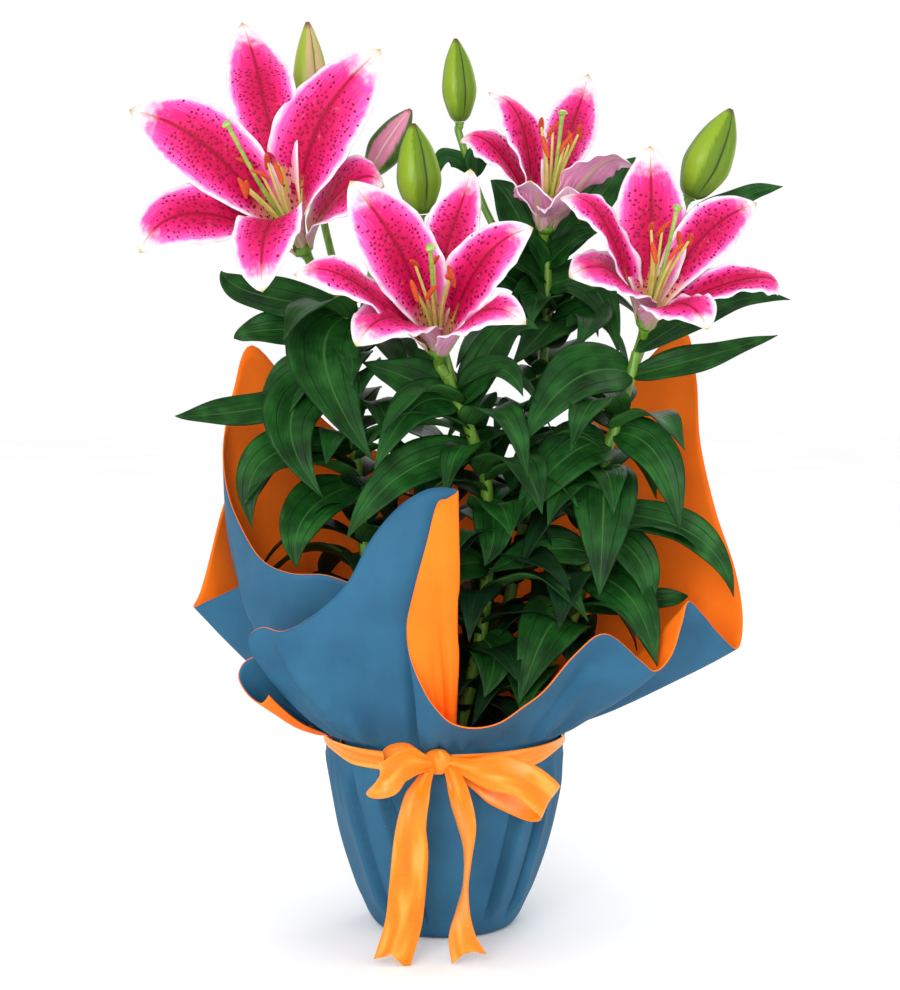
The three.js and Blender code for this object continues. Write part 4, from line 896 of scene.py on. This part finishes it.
# Stamens and pistil. Six pale filaments spread round the green ovary and its long style; each bears
# a rust-coloured anther that swings on its middle, and the style ends in a three-lobed stigma.
GAP, STAMEN_REACH, STAMEN_SPREAD, ANTHER = 0.35, 70, 14, (16, 1.8)
STYLE = (3.4, 2.8, 1.7, 1.36, 1.7, 3.4, 2.0)

# Filament: smooth and moist, pale green-yellow, a little clearer towards the anther.
filament_skin = grained("moist_pale_filament", 9, 2, 1, [(0.3, "#B7BC52"), (0.7, "#DCCF7C")], 0.35,
                        (0.15, 0.0004), soft=0.15)
# Pollen: a dusty coat of rust-red grains, drawn at 0.5 mm so that they show.
pollen = grained("dusty_rust_pollen", 0.5, 3, 1, [(0.3, "#8E2A0C"), (0.5, "#C4441A"), (0.72, "#E0662A")], 0.9,
                 (0.7, 0.0004))
# Stigma and style: sticky green, glossy where it is wet.
pistil_skin = grained("sticky_green_pistil", 4, 3, 1, [(0.3, "#6F9A36"), (0.7, "#9DBF5A")], 0.28,
                      (0.3, 0.0005))

for bloom, (stem, base, stigma, tepals) in enumerate(BLOOMS):
    base, stigma = Vector(base), Vector(stigma)
    axis = (stigma - base).normalized()
    seat = base + axis * (CUP_HEIGHT + GAP)
    across = axis.cross(UP).normalized()
    above = across.cross(axis)
    bm = bmesh.new()
    sag = seat.lerp(stigma, 0.5) - above * 3
    style = [seat, seat + axis * 5, seat + axis * 10, sag, stigma - axis * 3, stigma + axis * 0.4,
             stigma + axis * 2.2]
    rolled(bm, 18, 48, lambda t: along(style, t), lambda t: profile(STYLE, t),
           lambda angle, t: 1 + 0.16 * smoothstep(t, 0.7, 0.85) * cos(3 * angle), index=2)
    for i in range(6):
        angle = tau * (i + 0.5) / 6
        way = across * cos(angle) + above * sin(angle)
        reach = STAMEN_REACH * (1 - 0.08 * (i % 3))
        root = seat + axis * 3 + way * 1.8
        bend = seat + axis * (reach * 0.55) + way * (STAMEN_SPREAD * 0.42)
        end = seat + axis * reach + way * STAMEN_SPREAD
        rolled(bm, 8, 16, lambda t: along([root, bend, end], t), lambda t: 1.5 - 0.6 * t)
        lie = (axis * 0.86 + way.cross(axis) * (0.5 if i % 2 else -0.5)).normalized()
        hang = -above * 1.2
        rolled(bm, 14, 14, lambda t: end + lie * ((t - 0.5) * ANTHER[0]) + hang * (4 * (t - 0.5) ** 2),
               lambda t: ANTHER[1] * sqrt(max(1 - (1.9 * (t - 0.5)) ** 2, 0.04)),
               lambda angle, t: 1 + 0.14 * cos(2 * angle), index=1)
    piece(f"stamens_{bloom + 1}", bm, [filament_skin, pollen, pistil_skin], "stamen",
          f"bloom_{bloom + 1}_stamens")

# Buds. Closed pods whose three outer tepals meet along furrows; yellow-green, darker along the
# furrows, with a rib up each tepal and a small brown tip. On the green buds the darker furrows are
# painted shade and the paler ribs a painted highlight. The fourth is about to open and pink.
# The places along a bud, as parts of its length, and its radii there, as parts of the largest.
BUD_PLACES, BUD_RADII = (0, 0.08, 0.32, 0.52, 0.74, 0.92, 1), (0.34, 0.64, 1, 0.96, 0.72, 0.34, 0.1)


def bud_skin(name, furrow, body, rib, foot, tip):
    look = Finish(name)
    axes = look.axes(look.layer("pod"))
    streak = look.noise(look.scaled(look.place(), 1, 1, 0.12), per_metre(1.6), 3)
    tone = look.math("MULTIPLY_ADD", streak, 0.45, axes["X"])
    tint = look.ramp(tone, (0.08, foot), (0.3, body), (0.75, body), (1.0, rib))
    # The furrow colour along the creases; on the green buds it is painted shade.
    tint = look.mix(look.span(axes["X"], 0.022, 0.004), tint, furrow)
    tint = look.mix(look.span(axes["Y"], 0.22, 0), tint, foot)
    tint = look.mix(look.span(axes["Y"], 0.93, 0.99), tint, tip)
    return look.surface(tint, 0.38, soft=0.08, specular=0.3, Normal=look.bump(streak, 0.3, 0.0006))


def pod_shape(angle, t):
    """Three soft corners, and a furrow between each two."""
    corner = cos(3 * angle)
    furrow = exp(-((1 + corner) / 0.16) ** 2) * sin(pi * min(t * 1.05, 1))
    return 1 + 0.07 * corner - 0.1 * furrow


# The green bud's dark furrow and pale rib colours are painted shade and painted highlight.
green_pod = bud_skin("waxy_green_bud", "#223604", "#5C790A", "#7C981A", "#4C6A14", "#4E3218")
blushed_pod = bud_skin("blushed_green_bud", "#4C680E", "#B49A6C", "#869C28", "#627E22", "#6A4024")
pink_pod = bud_skin("opening_pink_bud", "#E0A6BC", "#C97C98", "#355C18", "#76962C", "#6A4020")
for bud, (stem, leave, bend, base, tip, radius) in enumerate(BUDS):
    base, tip = Vector(base), Vector(tip)
    bm, pod = blank("pod")
    rolled(bm, 60, 48, lambda t: base.lerp(tip, profile(BUD_PLACES, t)),
           lambda t: radius * profile(BUD_RADII, t), pod_shape,
           lambda u, v: {pod: (0.5 + 0.5 * cos(3 * tau * u), profile(BUD_PLACES, v), 0)})
    skin = {0: blushed_pod, 3: pink_pod}.get(bud, green_pod)
    piece(f"pod_{bud + 1}", bm, [skin], "pink_bud" if bud == 3 else "bud", f"bud_{bud + 1}")

# Studio: a plain pale floor, broad soft lights, and the camera where the photograph was taken from,
# a little above the neck of the pot.
FLOOR_SIZE, LAMPS_AIM = 6, (0, 0, 0.3)
LAMPS = [("key", (-0.5, -2.3, 1.0), 1.2, 36), ("fill", (1.5, -1.4, 0.9), 1.2, 4),
         ("rim", (0.6, 1.5, 1.6), 1.0, 6)]
# The camera's distance, the side and height of what it looks at, its elevation in degrees, its focal
# length and the photo's height in pixels, and the sensor's height in millimetres.
DISTANCE, AIM, ELEVATION, FOCAL, PHOTO_HEIGHT, SENSOR = 1.6, (0.004, 0.312), 5, 2222, 990, 36

# Seamless paper: white and matte, with the faintest mottling.
look = Finish("seamless_white_paper")
cloud = look.noise(look.place(), 3.0, 2)
backdrop = look.surface(look.ramp(cloud, (0.3, "#FCFCFC"), (0.7, "#FFFFFF")), 0.9)
bm = bmesh.new()
bmesh.ops.create_grid(bm, x_segments=1, y_segments=1, size=FLOOR_SIZE)
floor = meshed("studio_floor", bm, [backdrop])

world = bpy.data.worlds.new("studio")
world.use_nodes = True
sky = world.node_tree.nodes["Background"].inputs
sky["Color"].default_value, sky["Strength"].default_value = linear("#FFFFFF"), 1.0
bpy.context.scene.world = world
for name, place, size, power in LAMPS:
    lamp = bpy.data.lights.new(name, "AREA")
    lamp.energy, lamp.size = power, size
    light = placed(name, lamp)
    light.location = place
    light.rotation_euler = (Vector(LAMPS_AIM) - Vector(place)).to_track_quat("-Z", "Y").to_euler()

lens = bpy.data.cameras.new("camera")
lens.sensor_fit, lens.sensor_height, lens.lens = "VERTICAL", SENSOR, FOCAL / PHOTO_HEIGHT * SENSOR
camera = placed("camera", lens)
rise = radians(ELEVATION)
camera.location = (AIM[0], -DISTANCE * cos(rise), AIM[1] + DISTANCE * sin(rise))
camera.rotation_euler = (radians(90 - ELEVATION), 0, 0)
bpy.context.scene.camera = camera
bpy.context.scene.view_settings.view_transform = "Standard"
